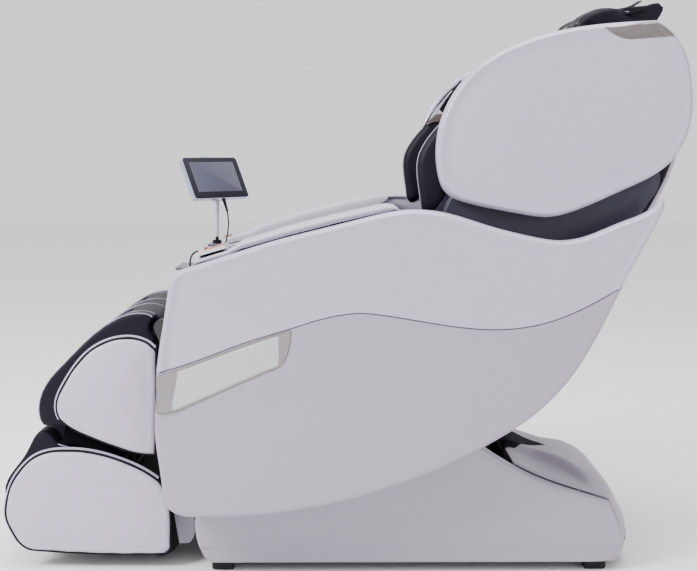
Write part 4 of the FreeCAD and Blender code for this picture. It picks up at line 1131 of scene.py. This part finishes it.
@dataclass
class Arms:
    """The arm pads with ribbed sides, the linings, the front plates and the control pod."""

    frame: dict
    outer: float = -0.3955
    inner: float = -0.2705
    pod_y: float = -0.342
    stud: tuple[float, float] = (0.0034, 0.0048)

    def build(self) -> None:
        """Makes both arms and the pod."""
        pad = self._pad()
        attach(pad, "seat", PALE, "arm_pad_left")
        attach(mirrored(pad, "arm_cushion_right"), "seat", PALE, "arm_pad_right")
        self._linings()
        self._plates()
        self._pod()

    def _pad(self) -> bpy.types.Object:
        """A long pad: soft top, ribbed side band painted grey as shade under the top, and a dark
        line above the shell's rim.
        """
        xs = np.array(
            [-0.3115, -0.308, -0.300, -0.27, -0.236, -0.205, -0.1, 0.0, 0.06, 0.109, 0.128, 0.1375]
        )
        top = np.array(
            [
                0.7285, 0.7355, 0.7405, 0.7500, 0.7600, 0.7790, 0.8110, 0.8360, 0.8490, 0.8590,
                0.8570, 0.8500,
            ]
        )
        low = np.array(
            [
                0.7225, 0.7235, 0.7255, 0.7320, 0.7400, 0.7485, 0.7760, 0.8020, 0.8170, 0.8290,
                0.8400, 0.8470,
            ]
        )
        places = np.linspace(xs[0], xs[-1], 90)
        sections = []
        for x in places:
            z_top, z_low = np.interp(x, xs, top), np.interp(x, xs, low)
            height = z_top - z_low
            k = min(1.0, height / 0.030)
            y0, y1 = self.outer, self.inner
            side = [
                (0.0, 0.0018), (0.35, 0.0010), (0.36, 0.0), (0.395, 0.0), (0.40, 0.0035),
                (0.455, 0.0035), (0.46, 0.0006),
            ]
            side += [
                (0.52, 0.0), (0.53, 0.0011), (0.545, 0.0), (0.60, 0.0), (0.61, 0.0011),
                (0.625, 0.0), (0.68, 0.0), (0.69, 0.0011), (0.705, 0.0), (0.755, 0.0),
                (0.765, 0.0018),
            ]
            side += [
                (0.775, 0.0), (0.84, 0.0003), (0.90, 0.0022), (0.95, 0.0055), (0.985, 0.0110),
                (1.0, 0.0200),
            ]
            outer = [(y0 + inset * k, z_low + share * height) for share, inset in side]
            crown = [
                (y0 + 0.045, z_top + 0.0012 * k),
                (-0.333, z_top + 0.0018 * k),
                (y1 - 0.040, z_top + 0.0012 * k),
            ]
            inner = [
                (y1 - inset * k, z_low + share * height)
                for share, inset in (
                    (1.0, 0.018), (0.97, 0.010), (0.9, 0.004), (0.75, 0.0005), (0.4, 0.0),
                    (0.0, 0.001),
                )
            ]
            sections.append(np.array([(x, y, z) for y, z in outer + crown + inner]))
        piece = lofted("arm_cushion_left", sections, PALE, 50)
        paint(
            piece, [PALE, PALE_GREY_AND_SHADE, BLACK], lambda centre, normal: self._band(centre, xs, top, low)
        )
        return piece

    def _band(self, centre: Vector, xs: Points, top: Points, low: Points) -> int:
        """Returns the finish of a face: dark line, ribbed band in painted shade, or soft leather.
        """
        if centre.y > self.outer + 0.006 or not -0.31 < centre.x < 0.137:
            return 0
        z_low, z_top = np.interp(centre.x, xs, low), np.interp(centre.x, xs, top)
        share = (centre.z - z_low) / (z_top - z_low)
        if 0.397 < share < 0.525:
            return 2
        # The ribbed band takes the greyer leather as painted shade under the pad's top.
        return 1 if 0.525 <= share < 0.70 else 0

    def _linings(self) -> None:
        """The upholstered inner faces of the arms."""
        loop = face_loop(self.frame, "arm_linings", -0.256)

        def face(flat: Points, gap: Points) -> Points:
            """Returns the depth of the lining, with its seam."""
            seam = 0.003 * ridge(np.abs(flat[:, 1] - 0.66 - 0.25 * (flat[:, 0] + 0.1)), 0, 0.004)
            return 0.003 * np.exp(-((gap[:, 0] / 0.05) ** 2)) + fillet(gap[:, 0], 0.004) + seam

        lining = Crowned(loop, -0.256, 1, face, lambda flat, gap: np.full(len(flat), 0.0118))
        left = lining.build("arm_lining_left", PALE)
        attach(left, "seat", PALE, "arm_linings")
        attach(mirrored(left, "arm_lining_right"), "seat", PALE)

    def _plates(self) -> None:
        """The flat plates at the arms' fronts: grey with a dark front edge."""
        node = self.frame["nodes"]["arm_front_plates"]
        paint(node, [SLATE_TRIM, BLACK], lambda centre, _: 1 if centre.x < -0.343 else 0)

    def _pod(self) -> None:
        """The pod's plate and its copper keys, the painted shadow under the plate, and a matching
        key strip on the right arm.
        """

        def at(x: float, y: float, z: float) -> tuple[float, float, float]:
            """Returns the point along the pod, across it and above it."""
            place = on_pod(x, z)
            return (place[0], self.pod_y + y, place[1])

        def shadow_under_plate(centre: Vector, _: Vector) -> int:
            """Returns 1 under the top plate, painted black as the shadow in the gap below it, and 0
            on it.
            """
            rise = (centre.z - POD_FOOT[1]) * math.cos(POD_ANGLE)
            return 1 if rise - (centre.x - POD_FOOT[0]) * math.sin(POD_ANGLE) < 0.0002 else 0

        # Everything under the top plate is painted black: painted shadow in the gap between the
        # plate and the arm.
        paint(self.frame["nodes"]["control_pod"], [GREY, BLACK], shadow_under_plate)
        for i in range(3):
            for j in range(4):
                finish = COPPER if (i + j) % 2 else BLACK
                x, y = 0.0105 + i * 0.0042, 0.012 + j * 0.0058
                rings = []
                for low, high, rise in ((0, 1, 0.0068), (0.1, 0.9, 0.0112)):
                    square = ((low, low), (high, low), (high, high), (low, high))
                    ring = [at(x + a * self.stud[0], y + b * self.stud[1], rise) for a, b in square]
                    rings.append(np.array(ring))
                attach(lofted(f"pod_stud_{i}_{j}", rings, finish), "seat", finish)
        strip = ((-0.310, 0.7436), (-0.288, 0.7505), (-0.288, 0.7478), (-0.310, 0.7409))
        for k in range(4):
            y = 0.300 + 0.012 * k
            sections = [np.array([(x, y + w, z - 0.0012) for x, z in strip]) for w in (0.0, 0.009)]
            finish = COPPER if k % 2 == 0 else BLACK
            attach(lofted(f"right_arm_stud_{k}", sections, finish), "seat", finish)
        for k in range(3):
            start, rise = 0.074 + 0.010 * k, 0.0006 * k
            line = np.array(
                [at(start, -0.030, rise - 0.0015), at(start + 0.006, -0.030, rise - 0.0008)]
            )
            attach(swept(f"pod_mark_{k}", line, 0.0009, SLATE), "seat", SLATE)


@dataclass
class Tablet:
    """The tablet remote: bezel, screen and clip on the case, and the ribs on its cable's plug."""

    frame: dict
    yaw: float = 47.5
    lean: float = -27.0
    width: float = 0.196
    height: float = 0.122

    def at(self, x: float, y: float, z: float) -> tuple[float, float, float]:
        """Returns the point at a place across, behind and up the tablet."""
        a, b = math.radians(self.yaw), math.radians(self.lean)
        y1, z1 = y * math.cos(b) - z * math.sin(b), y * math.sin(b) + z * math.cos(b)
        return (
            -0.3287 + x * math.cos(a) - y1 * math.sin(a),
            0.318 + x * math.sin(a) + y1 * math.cos(a),
            0.9032 + z1,
        )

    def _slab(
        self,
        name: str,
        half: tuple[float, float],
        centre: float,
        near: float,
        far: float,
        round_off: float,
        finish: Finish,
    ) -> bpy.types.Object:
        """A rounded rectangle between two depths."""
        outline = []
        for cx, cz, start in ((1, 1, 0), (-1, 1, 90), (-1, -1, 180), (1, -1, 270)):
            for turn in range(0, 91, 15):
                a = math.radians(start + turn)
                outline.append(
                    (
                        cx * (half[0] - round_off) + round_off * math.cos(a),
                        cz * (half[1] - round_off) + round_off * math.sin(a) + centre,
                    )
                )
        sections = [
            np.array([self.at(x * k, y, (z - centre) * k + centre) for x, z in outline])
            for y, k in ((far, 1.0), (near + 0.0004, 1.0), (near, 0.992))
        ]
        return lofted(name, sections, finish)

    def build(self) -> None:
        """Dresses the case, the plug and the post, and makes the bezel, the screen, the clip and
        the plug's ribs.
        """
        w, h = self.width / 2, self.height / 2
        case = self.frame["nodes"]["tablet_case"]
        paint(case, [CASE], lambda centre, _: 0)
        attach(
            self._slab("tablet_bezel", (w - 0.0012, h - 0.0012), 0, -0.0012, 0.001, 0.009, BEZEL),
            "tablet",
            CASE,
        )
        attach(
            self._slab(
                "tablet_screen", (w - 0.019, h - 0.0165), 0.002, -0.0018, -0.0009, 0.001, SCREEN
            ),
            "tablet",
            CASE,
        )
        clip = [
            np.array(
                [
                    self.at(-0.012 + dx, dy, h + dz)
                    for dx, dy in ((-k, 0.001), (k, 0.001), (k, 0.010), (-k, 0.010))
                ]
            )
            for dz, k in ((-0.002, 0.022), (0.0018, 0.020), (0.004, 0.008))
        ]
        attach(lofted("tablet_clip", clip, CASE), "tablet", CASE)
        paint(self.frame["nodes"]["cable_plug"], [BLACK], lambda centre, _: 0)
        paint(
            self.frame["nodes"]["tablet_post"],
            [GREY, BLACK],
            lambda centre, _: 1 if centre.z < 0.742 else 0,
        )
        end = Vector((-0.297, 0.300, 0.812))
        axis = end - Vector(self.at(0.008, 0.007, -self.height / 2 + 0.002))
        axis.normalize()
        for i in range(3):
            middle = end - axis * (0.0035 + 0.004 * i)
            radius = 0.0034 + 0.0002 * i
            attach(
                swept(f"plug_rib_{i}", np.array([middle, middle + axis * 0.0014]), radius, BLACK),
                "tablet",
                BLACK,
            )


@dataclass
class Cables:
    """The two cables that show."""

    frame: dict
    radius: float = 0.002

    def _curve(self, name: str, route: list[tuple[float, float, float]]) -> bpy.types.Object:
        """Returns a round NURBS curve through control points."""
        data = bpy.data.curves.new(name, "CURVE")
        data.dimensions = "3D"
        line = data.splines.new("NURBS")
        line.points.add(len(route) - 1)
        for point, place in zip(line.points, route):
            point.co = (*place, 1)
        line.order_u = 3
        line.use_endpoint_u = True
        line.resolution_u = 12
        return placed(name, data)

    def _traced(self, route: list[tuple[float, float, float]]) -> Points:
        """Returns the line that control points give, as points."""
        curve = self._curve("cable_line", route)
        graph = bpy.context.evaluated_depsgraph_get()
        bpy.context.view_layer.update()
        mesh = curve.evaluated_get(graph).to_mesh()
        line = np.array([tuple(v.co) for v in mesh.vertices])
        bpy.data.objects.remove(curve)
        return line

    def build(self) -> None:
        """Makes the tablet's cable and the pod's short cable."""
        route = [
            (-0.297, 0.300, 0.812), (-0.293, 0.290, 0.788), (-0.292, 0.271, 0.768),
            (-0.294, 0.250, 0.749),
            (-0.297, 0.235, 0.727), (-0.299, 0.228, 0.702), (-0.301, 0.226, 0.678),
            (-0.302, 0.229, 0.662),
            (-0.303, 0.240, 0.649), (-0.303, 0.2575, 0.649),
        ]
        path = self._traced(route)
        lead = swept("tablet_lead", path, self.radius, RUBBER, sides=12)
        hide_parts("tablet_cable")
        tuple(route[0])
        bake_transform(lead)
        grommet = np.array([(-0.303, 0.2525, 0.649), (-0.303, 0.2590, 0.649)])
        attach(swept("lead_grommet", grommet, 0.0055, BLACK, sides=20), "seat", BLACK)
        y = -0.370
        (x0, z0), (x1, z1) = on_pod(0.008, 0.010), on_pod(-0.001, 0.010)
        route = [
            (x0, y, z0), (x1, y, z1), (-0.3165, y - 0.001, 0.7485), (-0.320, y - 0.002, 0.7365),
            (-0.320, y - 0.002, 0.724),
        ]
        short = self._curve("pod_lead", route)
        short.data.bevel_depth = self.radius
        short.data.bevel_resolution = 4
        short.data.use_fill_caps = True
        short.data.materials.append(RUBBER.material())
        attach(short, "seat", RUBBER, "arm_cable")
        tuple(route[0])
        run_length(self._traced(route))


@dataclass
class Backrest:
    """The reclining part: wings, liners, sides, pads and rear cover."""

    frame: dict
    wing_plane: float = -0.392
    liner_plane: float = -0.330
    side_plane: float = -0.328

    def build(self) -> None:
        """Makes every piece of the backrest."""
        self._wings()
        self._liners()
        self._sides()
        self._pads()
        self._rear()

    def _wing_depth(self, gap: Points) -> Points:
        """Returns the wing's face: crowned, rolled at the rim, with a shallow hollow in it."""
        face = 0.012 * np.exp(-((gap / 0.09) ** 2)) + fillet(gap, 0.014)
        return face - 0.0030 * ridge(gap, 0.010, 0.006) + 0.0032 * ridge(gap, 0.028, 0.016)

    def _wings(self) -> None:
        """The wing shells and the gloss trim at their top rear corners."""
        loop = face_loop(self.frame, "wing_left", self.wing_plane)

        def front(flat: Points, gap: Points) -> Points:
            """Returns the depth of the outer face."""
            return self._wing_depth(gap[:, 0])

        def back(flat: Points, gap: Points) -> Points:
            """Returns the depth of the inner face."""
            return 0.0595 - fillet(gap[:, 0], 0.014)

        left = Crowned(
            loop, self.wing_plane, -1, front, back, step=0.012
        ).build("wing_shell_left", PEARL)
        attach(left, "backrest", PEARL, "wing_left")
        attach(mirrored(left, "wing_shell_right"), "backrest", PEARL, "wing_right")
        edge = face_loop(self.frame, "wing_trims", -0.3935)

        def trim_front(flat: Points, gap: Points) -> Points:
            """Returns a depth that follows the wing under the trim."""
            return (
                self._wing_depth(distance(flat, loop, np.roll(loop, -1, 0)))
                - 0.0011
                + fillet(gap[:, 0], 0.0006)
            )

        trim = Crowned(
            edge,
            self.wing_plane,
            -1,
            trim_front,
            lambda flat, gap: trim_front(flat, gap) + 0.003,
            (0.0012, 0.003, 0.006),
            0.01,
            0.004,
        )
        left = trim.build("wing_trim_left", TAUPE)
        attach(left, "backrest", TAUPE, "wing_trims")
        attach(mirrored(left, "wing_trim_right"), "backrest", TAUPE)

    def _liners(self) -> None:
        """The padded liners: dark leaves round the shoulders, pale lining above them, and thin
        plates on their inner faces, one of them a black plate of painted shadow.
        """
        loop = face_loop(self.frame, "shoulder_pad_left", self.liner_plane)

        def puff(flat: Points, gap: Points) -> Points:
            """Returns the depth of a puffed leather face."""
            return fillet(gap[:, 0], 0.015) + 0.004 * np.exp(-((gap[:, 0] / 0.03) ** 2))

        liner = Crowned(
            loop, self.liner_plane, -1, puff, lambda flat, gap: 0.0435 - puff(flat, gap)
        )
        left = liner.build("shoulder_liner_left", DARK)
        right = mirrored(left, "shoulder_liner_right")
        attach(left, "backrest", DARK, "shoulder_pad_left")
        attach(right, "backrest", DARK, "shoulder_pad_right")
        rim = resampled(loop, 0.008)
        for side, sign in SIDES:
            path = np.stack([rim[:, 0], np.full(len(rim), sign * 0.3085), rim[:, 1]], 1)
            piping = swept(f"liner_piping_{side}", path, 0.0015, PALE_GREY_AND_SHADE, closed=True)
            attach(piping, "backrest", PALE_GREY_AND_SHADE)
        # The black plate is painted shadow: a dark patch laid where shade falls on each liner's
        # inner face.
        shadow = [
            (0.275, 1.086), (0.292, 1.112), (0.331, 1.163), (0.352, 1.163), (0.330, 1.079),
            (0.284, 1.078),
        ]
        band = [
            (0.243, 1.045), (0.248, 1.057), (0.266, 1.074), (0.334, 1.077), (0.334, 1.060),
            (0.262, 1.052),
        ]
        field = [
            (0.248, 1.056), (0.264, 1.084), (0.306, 1.134), (0.405, 1.188), (0.500, 1.213),
            (0.515, 1.190), (0.430, 1.125), (0.334, 1.070), (0.262, 1.066),
        ]
        for name, outline, finish, proud in (
            ("liner_field", field, PALE, 0.0006), ("liner_inset", shadow, BLACK, 0.0016),
            ("liner_band", band, TAUPE, 0.0014),
        ):
            self._inlay(name, outline, finish, proud)

    def _inlay(
        self, name: str, outline: list[tuple[float, float]], finish: Finish, proud: float
    ) -> None:
        """A thin gloss plate on the inner face of each liner: an inlay, or a black plate of painted
        shadow.
        """
        loop = np.array(outline)[::-1]
        x, z = loop[:, 0], loop[:, 1]
        if np.sum(x * np.roll(z, -1) - np.roll(x, -1) * z) < 0:
            loop = loop[::-1]
        plate = Crowned(
            loop,
            -0.286 + proud,
            1,
            lambda flat, gap: fillet(gap[:, 0], 0.001),
            lambda flat, gap: np.full(len(flat), 0.014),
            (0.001, 0.003),
            0.008,
            0.004,
        )
        left = plate.build(f"{name}_left", finish)
        attach(left, "backrest", finish)
        attach(mirrored(left, f"{name}_right"), "backrest", finish)

    def _sides(self) -> None:
        """The satin sides between the wings and the seat."""
        loop = face_loop(self.frame, "back_side_left", self.side_plane)

        def face(flat: Points, gap: Points) -> Points:
            """Returns the depth of the flank."""
            return fillet(gap[:, 0], 0.006) + 0.003 * np.exp(-((gap[:, 0] / 0.03) ** 2))

        side = Crowned(
            loop, self.side_plane, -1, face, lambda flat, gap: np.full(len(flat), 0.0225)
        )
        left = side.build("back_flank_left", SLATE)
        attach(left, "backrest", SLATE, "back_side_left")
        attach(mirrored(left, "back_flank_right"), "backrest", SLATE, "back_side_right")

    def _pads(self) -> None:
        """The quilted back pad and the head pillow with its flaps."""

        def up(co: Points) -> Points:
            """Returns how far up the backrest each point is."""
            along = (co[:, 0] - BACK_PIVOT[0]) * math.cos(BACK_ANGLE)
            return along + (co[:, 2] - BACK_PIVOT[1]) * math.sin(BACK_ANGLE)

        def quilt(co: Points, normal: Points) -> Points:
            """Returns the move of each point into the channels."""
            y = np.abs(co[:, 1])
            facing = np.clip(-normal[:, 0], 0, 1)
            channel = ridge(y, 0.105, 0.007) + ridge(y, 0.200, 0.006)
            rows = ridge(np.abs((up(co) + 0.03) % 0.14 - 0.07), 0.07, 0.006) * (y < 0.105)
            return -0.0075 * np.minimum(channel + 0.7 * rows, 1) * facing

        back = Upholstered(0.0075, 8, quilt).build(self.frame, "back_pad", "back_cushion", DARK)
        attach(back, "backrest", DARK, "back_pad")

        def folds(co: Points, normal: Points) -> Points:
            """Returns the move of each point into the folds."""
            y = np.abs(co[:, 1])
            rows = ridge(np.abs((up(co) - 0.73) % 0.075 - 0.0375), 0.0375, 0.007)
            waves = 0.5 + 0.5 * np.sin(y * 46)
            low = 0.013 * step_up((up(co) - 0.93) / 0.05)
            return (
                -0.006 * np.minimum(rows + 0.6 * ridge(y, 0.07, 0.006), 1)
                - 0.004 * waves * (normal[:, 2] > 0.2)
                - low
            )

        head = Upholstered(0.0065, 8, folds).build(self.frame, "head_pillow", "head_cushion", DARK)
        attach(head, "backrest", DARK, "head_pillow")
        flap = [(0.590, 1.287), (0.625, 1.300), (0.668, 1.307), (0.700, 1.314), (0.722, 1.326)]
        lining = [(0.562, 1.272), (0.590, 1.2855), (0.640, 1.2945), (0.690, 1.2985)]
        fold = [(0.610, 1.284), (0.650, 1.2915), (0.690, 1.296), (0.722, 1.3055)]
        for name, line, half, finish in (
            ("head_flap", flap, 0.150, DARK),
            ("head_lining", lining, 0.163, PALE),
            ("head_fold", fold, 0.171, DARK),
        ):
            self._flap(name, line, half, finish)
        for side, sign in SIDES:
            line = np.array(
                [
                    (0.452, sign * 0.300, 1.192),
                    (0.480, sign * 0.300, 1.206),
                    (0.512, sign * 0.300, 1.2165),
                ]
            )
            attach(swept(f"side_flap_{side}", line, 0.0075, PALE, sides=16), "backrest", PALE)
            line = np.array([(0.512, sign * 0.300, 1.2165), (0.521, sign * 0.300, 1.220)])
            attach(swept(f"side_knob_{side}", line, 0.0062, DARK, sides=16), "backrest", DARK)

    def _flap(
        self, name: str, line: list[tuple[float, float]], half: float, finish: Finish
    ) -> None:
        """A thin leather leaf across the top of the head pillow."""
        path = spline(line, 26)
        ys = np.linspace(-half, half, 31)
        grid = np.empty((len(path), len(ys), 3))
        for i, (x, z) in enumerate(path):
            share = i / (len(path) - 1)
            for j, y in enumerate(ys):
                edge = abs(y) / half
                grid[i, j] = (
                    x - 0.012 * share * edge**2,
                    y,
                    z - 0.006 * edge**4 + 0.0012 * share * math.sin(70 * y),
                )
        leaf = sheet_solid(name, grid[:, ::-1], 0.0035, finish)
        attach(leaf, "backrest", finish)

    def _rear(self) -> None:
        """The moulded rear cover: a broad upper part and a narrow tongue below it."""
        line = [
            (0.923, -0.053), (0.856, -0.129), (0.790, -0.171), (0.700, -0.205), (0.600, -0.218),
            (0.430, -0.218), (0.330, -0.207), (0.260, -0.1855),
        ]
        self._rear_sheet("rear_shell", line, 0.3275, "back_rear_cover")
        self._rear_sheet(
            "rear_tongue",
            [(0.262, -0.1865), (0.200, -0.175), (0.150, -0.168), (0.061, -0.165)],
            0.1945,
        )

    def _rear_sheet(
        self, name: str, line: list[tuple[float, float]], half: float, *nodes: str
    ) -> None:
        """A cover with rounded long edges along a line up the backrest."""
        profile = spline(line, 60)
        ys = np.concatenate(
            [
                [-half, -half + 0.0015, -half + 0.004, -half + 0.008],
                np.linspace(-half + 0.014, half - 0.014, 36),
                [half - 0.008, half - 0.004, half - 0.0015, half],
            ]
        )
        way = np.gradient(profile, axis=0)
        way /= np.linalg.norm(way, axis=1)[:, None]
        turned = np.stack([-way[:, 1], way[:, 0]], 1)
        if turned[len(turned) // 2][1] < 0:
            turned = -turned
        grid = np.empty((len(profile), len(ys), 3))
        for i, ((u, out), n) in enumerate(zip(profile, turned)):
            for j, y in enumerate(ys):
                gap = half - abs(y)
                inset = (
                    float(fillet(np.array([gap]), 0.012)[0]) * 0.8
                    + 0.0018 * math.exp(-(((gap - 0.03) / 0.004) ** 2))
                )
                grid[i, j] = in_back(u + n[0] * inset, y, out + n[1] * inset)
        attach(sheet_solid(name, grid, 0.0035, PEARL_LOW), "backrest", PEARL_LOW, *nodes)


@dataclass
class Seat:
    """The seat cushion."""

    frame: dict

    def build(self) -> None:
        """Makes the cushion with its channels and soft creases."""

        def shape(co: Points, normal: Points) -> Points:
            """Returns the move of each point into channels and creases."""
            y, top = np.abs(co[:, 1]), np.clip(normal[:, 2], 0, 1)
            channel = (
                ridge(y, 0.095, 0.007) + ridge(np.abs(co[:, 0] + 0.17), 0, 0.007) * (y < 0.095)
            )
            creases = 0.0012 * np.sin(co[:, 0] * 70 + 2.0 * np.sin(co[:, 1] * 21))
            return (-0.007 * np.minimum(channel, 1) + creases - 0.0012) * top

        cushion = Upholstered(0.0075, 10, shape).build(self.frame, "seat_cushion", "seat_pad", DARK)
        attach(cushion, "seat", DARK, "seat_cushion")


@dataclass
class LegUnit:
    """The calf block and the foot block: pads, side panels, seams and the pleated skirt."""

    frame: dict
    panel_plane: float = -0.262

    def build(self) -> None:
        """Makes both blocks."""
        repeat = Repeat("stitches", 6)
        for part in ("calf", "foot"):
            self._panels(part, repeat)
            self._pads(part)
        self._skirt()
        shell = self.frame["nodes"]["foot_lower_shell"]
        paint(
            shell,
            [PEARL_LOW, BLACK],
            lambda centre, _: 0 if centre.x > -0.396 and centre.z > 0.042 else 1,
        )

    def _panels(self, part: str, repeat: Repeat) -> None:
        """The pale leather side panels with dark piping and a row of stitches."""
        node = f"{part}_side_panels"
        loop = face_loop(self.frame, node, self.panel_plane)

        def face(flat: Points, gap: Points) -> Points:
            """Returns the depth of the panel, with its band and creases."""
            x, z, d = flat[:, 0], flat[:, 1], gap[:, 0]
            crease = 0.0007 * np.sin(x * 95 + z * 40) * np.exp(-((d / 0.05) ** 2))
            band = 0.0007 * ridge(d, 0.0175, 0.0025)
            return fillet(d, 0.010) + 0.006 * np.exp(-((d / 0.045) ** 2)) + band + crease

        panel = Crowned(
            loop,
            self.panel_plane,
            -1,
            face,
            lambda flat, gap: np.full(len(flat), 0.0168),
            step=0.011,
        )
        left = panel.build(f"{part}_cheek_left", PALE)
        attach(left, part, PALE, node)
        attach(mirrored(left, f"{part}_cheek_right"), part, PALE)
        rim = resampled(loop, 0.007)
        normal = inward(rim)
        edge, out = self._forward(rim, normal)
        block = resampled(face_loop(self.frame, f"{part}_pads", -0.2445), 0.007)
        pad, out_of_pad = self._forward(block, inward(block))
        pad = pad + out_of_pad * 0.0022
        for side, sign in SIDES:
            path = np.stack(
                [
                    rim[:, 0] - normal[:, 0] * 0.0005,
                    np.full(len(rim), sign * 0.2495),
                    rim[:, 1] - normal[:, 1] * 0.0005,
                ],
                1,
            )
            attach(swept(f"{part}_piping_{side}", path, 0.0029, BLACK, closed=True), part, BLACK)
            welt = np.stack(
                [
                    edge[:, 0] - out[:, 0] * 0.0040,
                    np.full(len(edge), sign * 0.2425),
                    edge[:, 1] - out[:, 1] * 0.0040,
                ],
                1,
            )
            attach(swept(f"{part}_welt_{side}", welt, 0.0038, PALE_WELT), part, PALE_WELT)
            line = welt + (0.0, sign * 0.0040, 0.0)
            stitches = repeat.along(f"{part}_stitches_{side}", line, 0.0062, 0.0042, 0.0006, THREAD)
            attach(stitches, part, THREAD)
            for y in (0.2385, 0.196, 0.052):
                seam = np.stack([pad[:, 0], np.full(len(pad), sign * y), pad[:, 1]], 1)
                attach(
                    swept(f"{part}_seam_{side}_{round(y * 1000)}", seam, 0.0016, PALE_GREY_AND_SHADE),
                    part,
                    PALE_GREY_AND_SHADE,
                )

    def _forward(self, rim: Points, normal: Points) -> tuple[Points, Points]:
        """Returns the run of an outline that faces up and forward, with its inward normals."""
        faces = (normal[:, 0] - normal[:, 1]) * 0.7 > 0.02
        start = int(np.argmax(faces & ~np.roll(faces, 1)))
        order = (start + np.arange(len(rim))) % len(rim)
        run = order[: int(np.argmin(faces[order])) or len(order)]
        return rim[run], normal[run]

    def _pads(self, part: str) -> None:
        """The dark pads, with faint ridges across them."""
        node = f"{part}_pads"

        def ridges(co: Points, normal: Points) -> Points:
            """Returns the move of each point between the ridges."""
            c, s = math.cos(LEG_ANGLE), math.sin(LEG_ANGLE)
            x, z = co[:, 0] - LEG_PIVOT[0], co[:, 2] - LEG_PIVOT[1]
            down, ahead = -x * s - z * c, -x * c + z * s
            if part == "calf":
                turn = np.arctan2(ahead - 0.03, down - 0.30)
                along = turn * 0.30
            else:
                along = ahead
            rows = np.abs(np.sin(np.pi * along / 0.050))
            outward = np.clip(1.4 - 1.4 * np.abs(normal[:, 1]), 0, 1)
            free = np.clip((normal[:, 2] * 0.8 - normal[:, 0] * 0.8) * 2, 0, 1)
            return -0.0014 * (1 - rows**0.55) * outward * free - 0.0008

        pads = Upholstered(0.0062, 6, ridges).build(self.frame, node, f"{part}_cushions", DARK)
        attach(pads, part, DARK, node)

    def _skirt(self) -> None:
        """The pleated fabric between the calf block and the foot block."""
        half, near, far = 0.2345, 0.012, 0.146
        sections = []
        stops = np.linspace(0.2955, 0.3265, 17)
        for i, down in enumerate(stops):
            inset = 0.0 if i % 2 else 0.0055
            w, f, n = half - inset, far - inset, near + inset
            outline = []
            for cy, cb, start in ((1, f, 0), (-1, f, 90), (-1, n, 180), (1, n, 270)):
                sign = 1 if cb == f else -1
                for turn in range(0, 91, 18):
                    t = math.radians(start + turn)
                    outline.append(
                        (
                            cy * (w - 0.02) + 0.02 * math.cos(t),
                            cb - sign * 0.02 + 0.02 * math.sin(t),
                        )
                    )
            sections.append(np.array([in_leg(down, y, b) for y, b in outline]))
        skirt = lofted("leg_skirt", sections, CLOTH, BAR_CREASE)
        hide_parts("leg_bellows")
        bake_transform(skirt)


# ---------------------------------------------------------------- carried CAD and studio
@dataclass
class Mechanism:
    """The carried CAD pieces: frames, rollers, screws and actuators."""

    frame: dict

    def dress(self) -> None:
        """Gives each carried CAD piece the finish of its slot."""
        finishes = (
            PEARL, PEARL_LOW, SILVER, TAUPE, DARK, PALE, SLATE, BLACK, GREY, COPPER, STEEL_DARK,
            STEEL, RUBBER, WHEEL, CLOTH, CASE,
        )
        by_slot = {finish.slot: finish for finish in finishes}
        for name, node in self.frame["nodes"].items():
            slot = node.data.materials[0].name.split(".")[0] if node.data.materials else ""
            finish = by_slot.get(slot, STEEL_DARK)
            node.data.materials.clear()
            node.data.materials.append(finish.material())
            for face in node.data.polygons:
                face.material_index = 0
            LOG.info("%s takes %s", name, finish.name)


@dataclass
class Studio:
    """A pale floor, soft lights and the camera."""

    lens: float = 64.87
    eye: tuple[float, float, float] = (0.0081, -3.115, 0.9779)
    pitch: float = 6.16
    turn: float = 0.4

    def build(self) -> None:
        """Makes the floor, the lights and the camera."""
        mesh = bpy.data.meshes.new("studio_floor")
        mesh.from_pydata(
            [(-14, -14, 0), (14, -14, 0), (14, 14, 0), (-14, 14, 0)], [], [(0, 1, 2, 3)]
        )
        made = bpy.data.materials.new("studio_floor")
        made.use_nodes = True
        shader = made.node_tree.nodes["Principled BSDF"]
        shader.inputs["Base Color"].default_value = (0.93, 0.93, 0.935, 1)
        shader.inputs["Roughness"].default_value = 0.7
        mesh.materials.append(made)
        floor = placed("studio_floor", mesh)
        world = bpy.data.worlds.new("studio")
        world.use_nodes = True
        sky = world.node_tree.nodes["Background"]
        sky.inputs["Color"].default_value = (1.0, 1.0, 1.0, 1)
        sky.inputs["Strength"].default_value = 1.2
        bpy.context.scene.world = world
        for name, place, aim, size, power in (
            ("key", (-2.9, -2.3, 3.0), (0.1, 0, 0.5), 1.4, 240),
            ("top", (0.2, -0.3, 3.9), (0.1, 0, 0.7), 3.0, 150),
            ("fill", (2.6, -3.2, 1.2), (0.2, 0, 0.7), 2.4, 22),
        ):
            self._light(name, Vector(place), Vector(aim), size, power)
        lens = bpy.data.cameras.new("camera")
        lens.lens = self.lens
        lens.sensor_width = 36
        camera = placed("camera", lens)
        p, t = math.radians(self.pitch), math.radians(self.turn)
        ahead = Vector((math.sin(t) * math.cos(p), math.cos(t) * math.cos(p), -math.sin(p)))
        camera.location = self.eye
        camera.rotation_euler = ahead.to_track_quat("-Z", "Y").to_euler()
        bpy.context.scene.camera = camera

    def _light(self, name: str, place: Vector, aim: Vector, size: float, power: float) -> None:
        """A soft square light."""
        data = bpy.data.lights.new(name, "AREA")
        data.size = size
        data.energy = power
        light = placed(name, data)
        light.location = place
        light.rotation_euler = (aim - place).to_track_quat("-Z", "Y").to_euler()


def main() -> None:
    """Builds the chair's looks and the studio."""
    logging.basicConfig(level=logging.INFO)
    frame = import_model()
    Mechanism(frame).dress()
    for part in (SideShells, Base, Arms, Tablet, Cables, Backrest, Seat, LegUnit):
        LOG.info("building %s", part.__name__)
        part(frame).build()
    Studio().build()


if __name__ == "__main__":
    main()
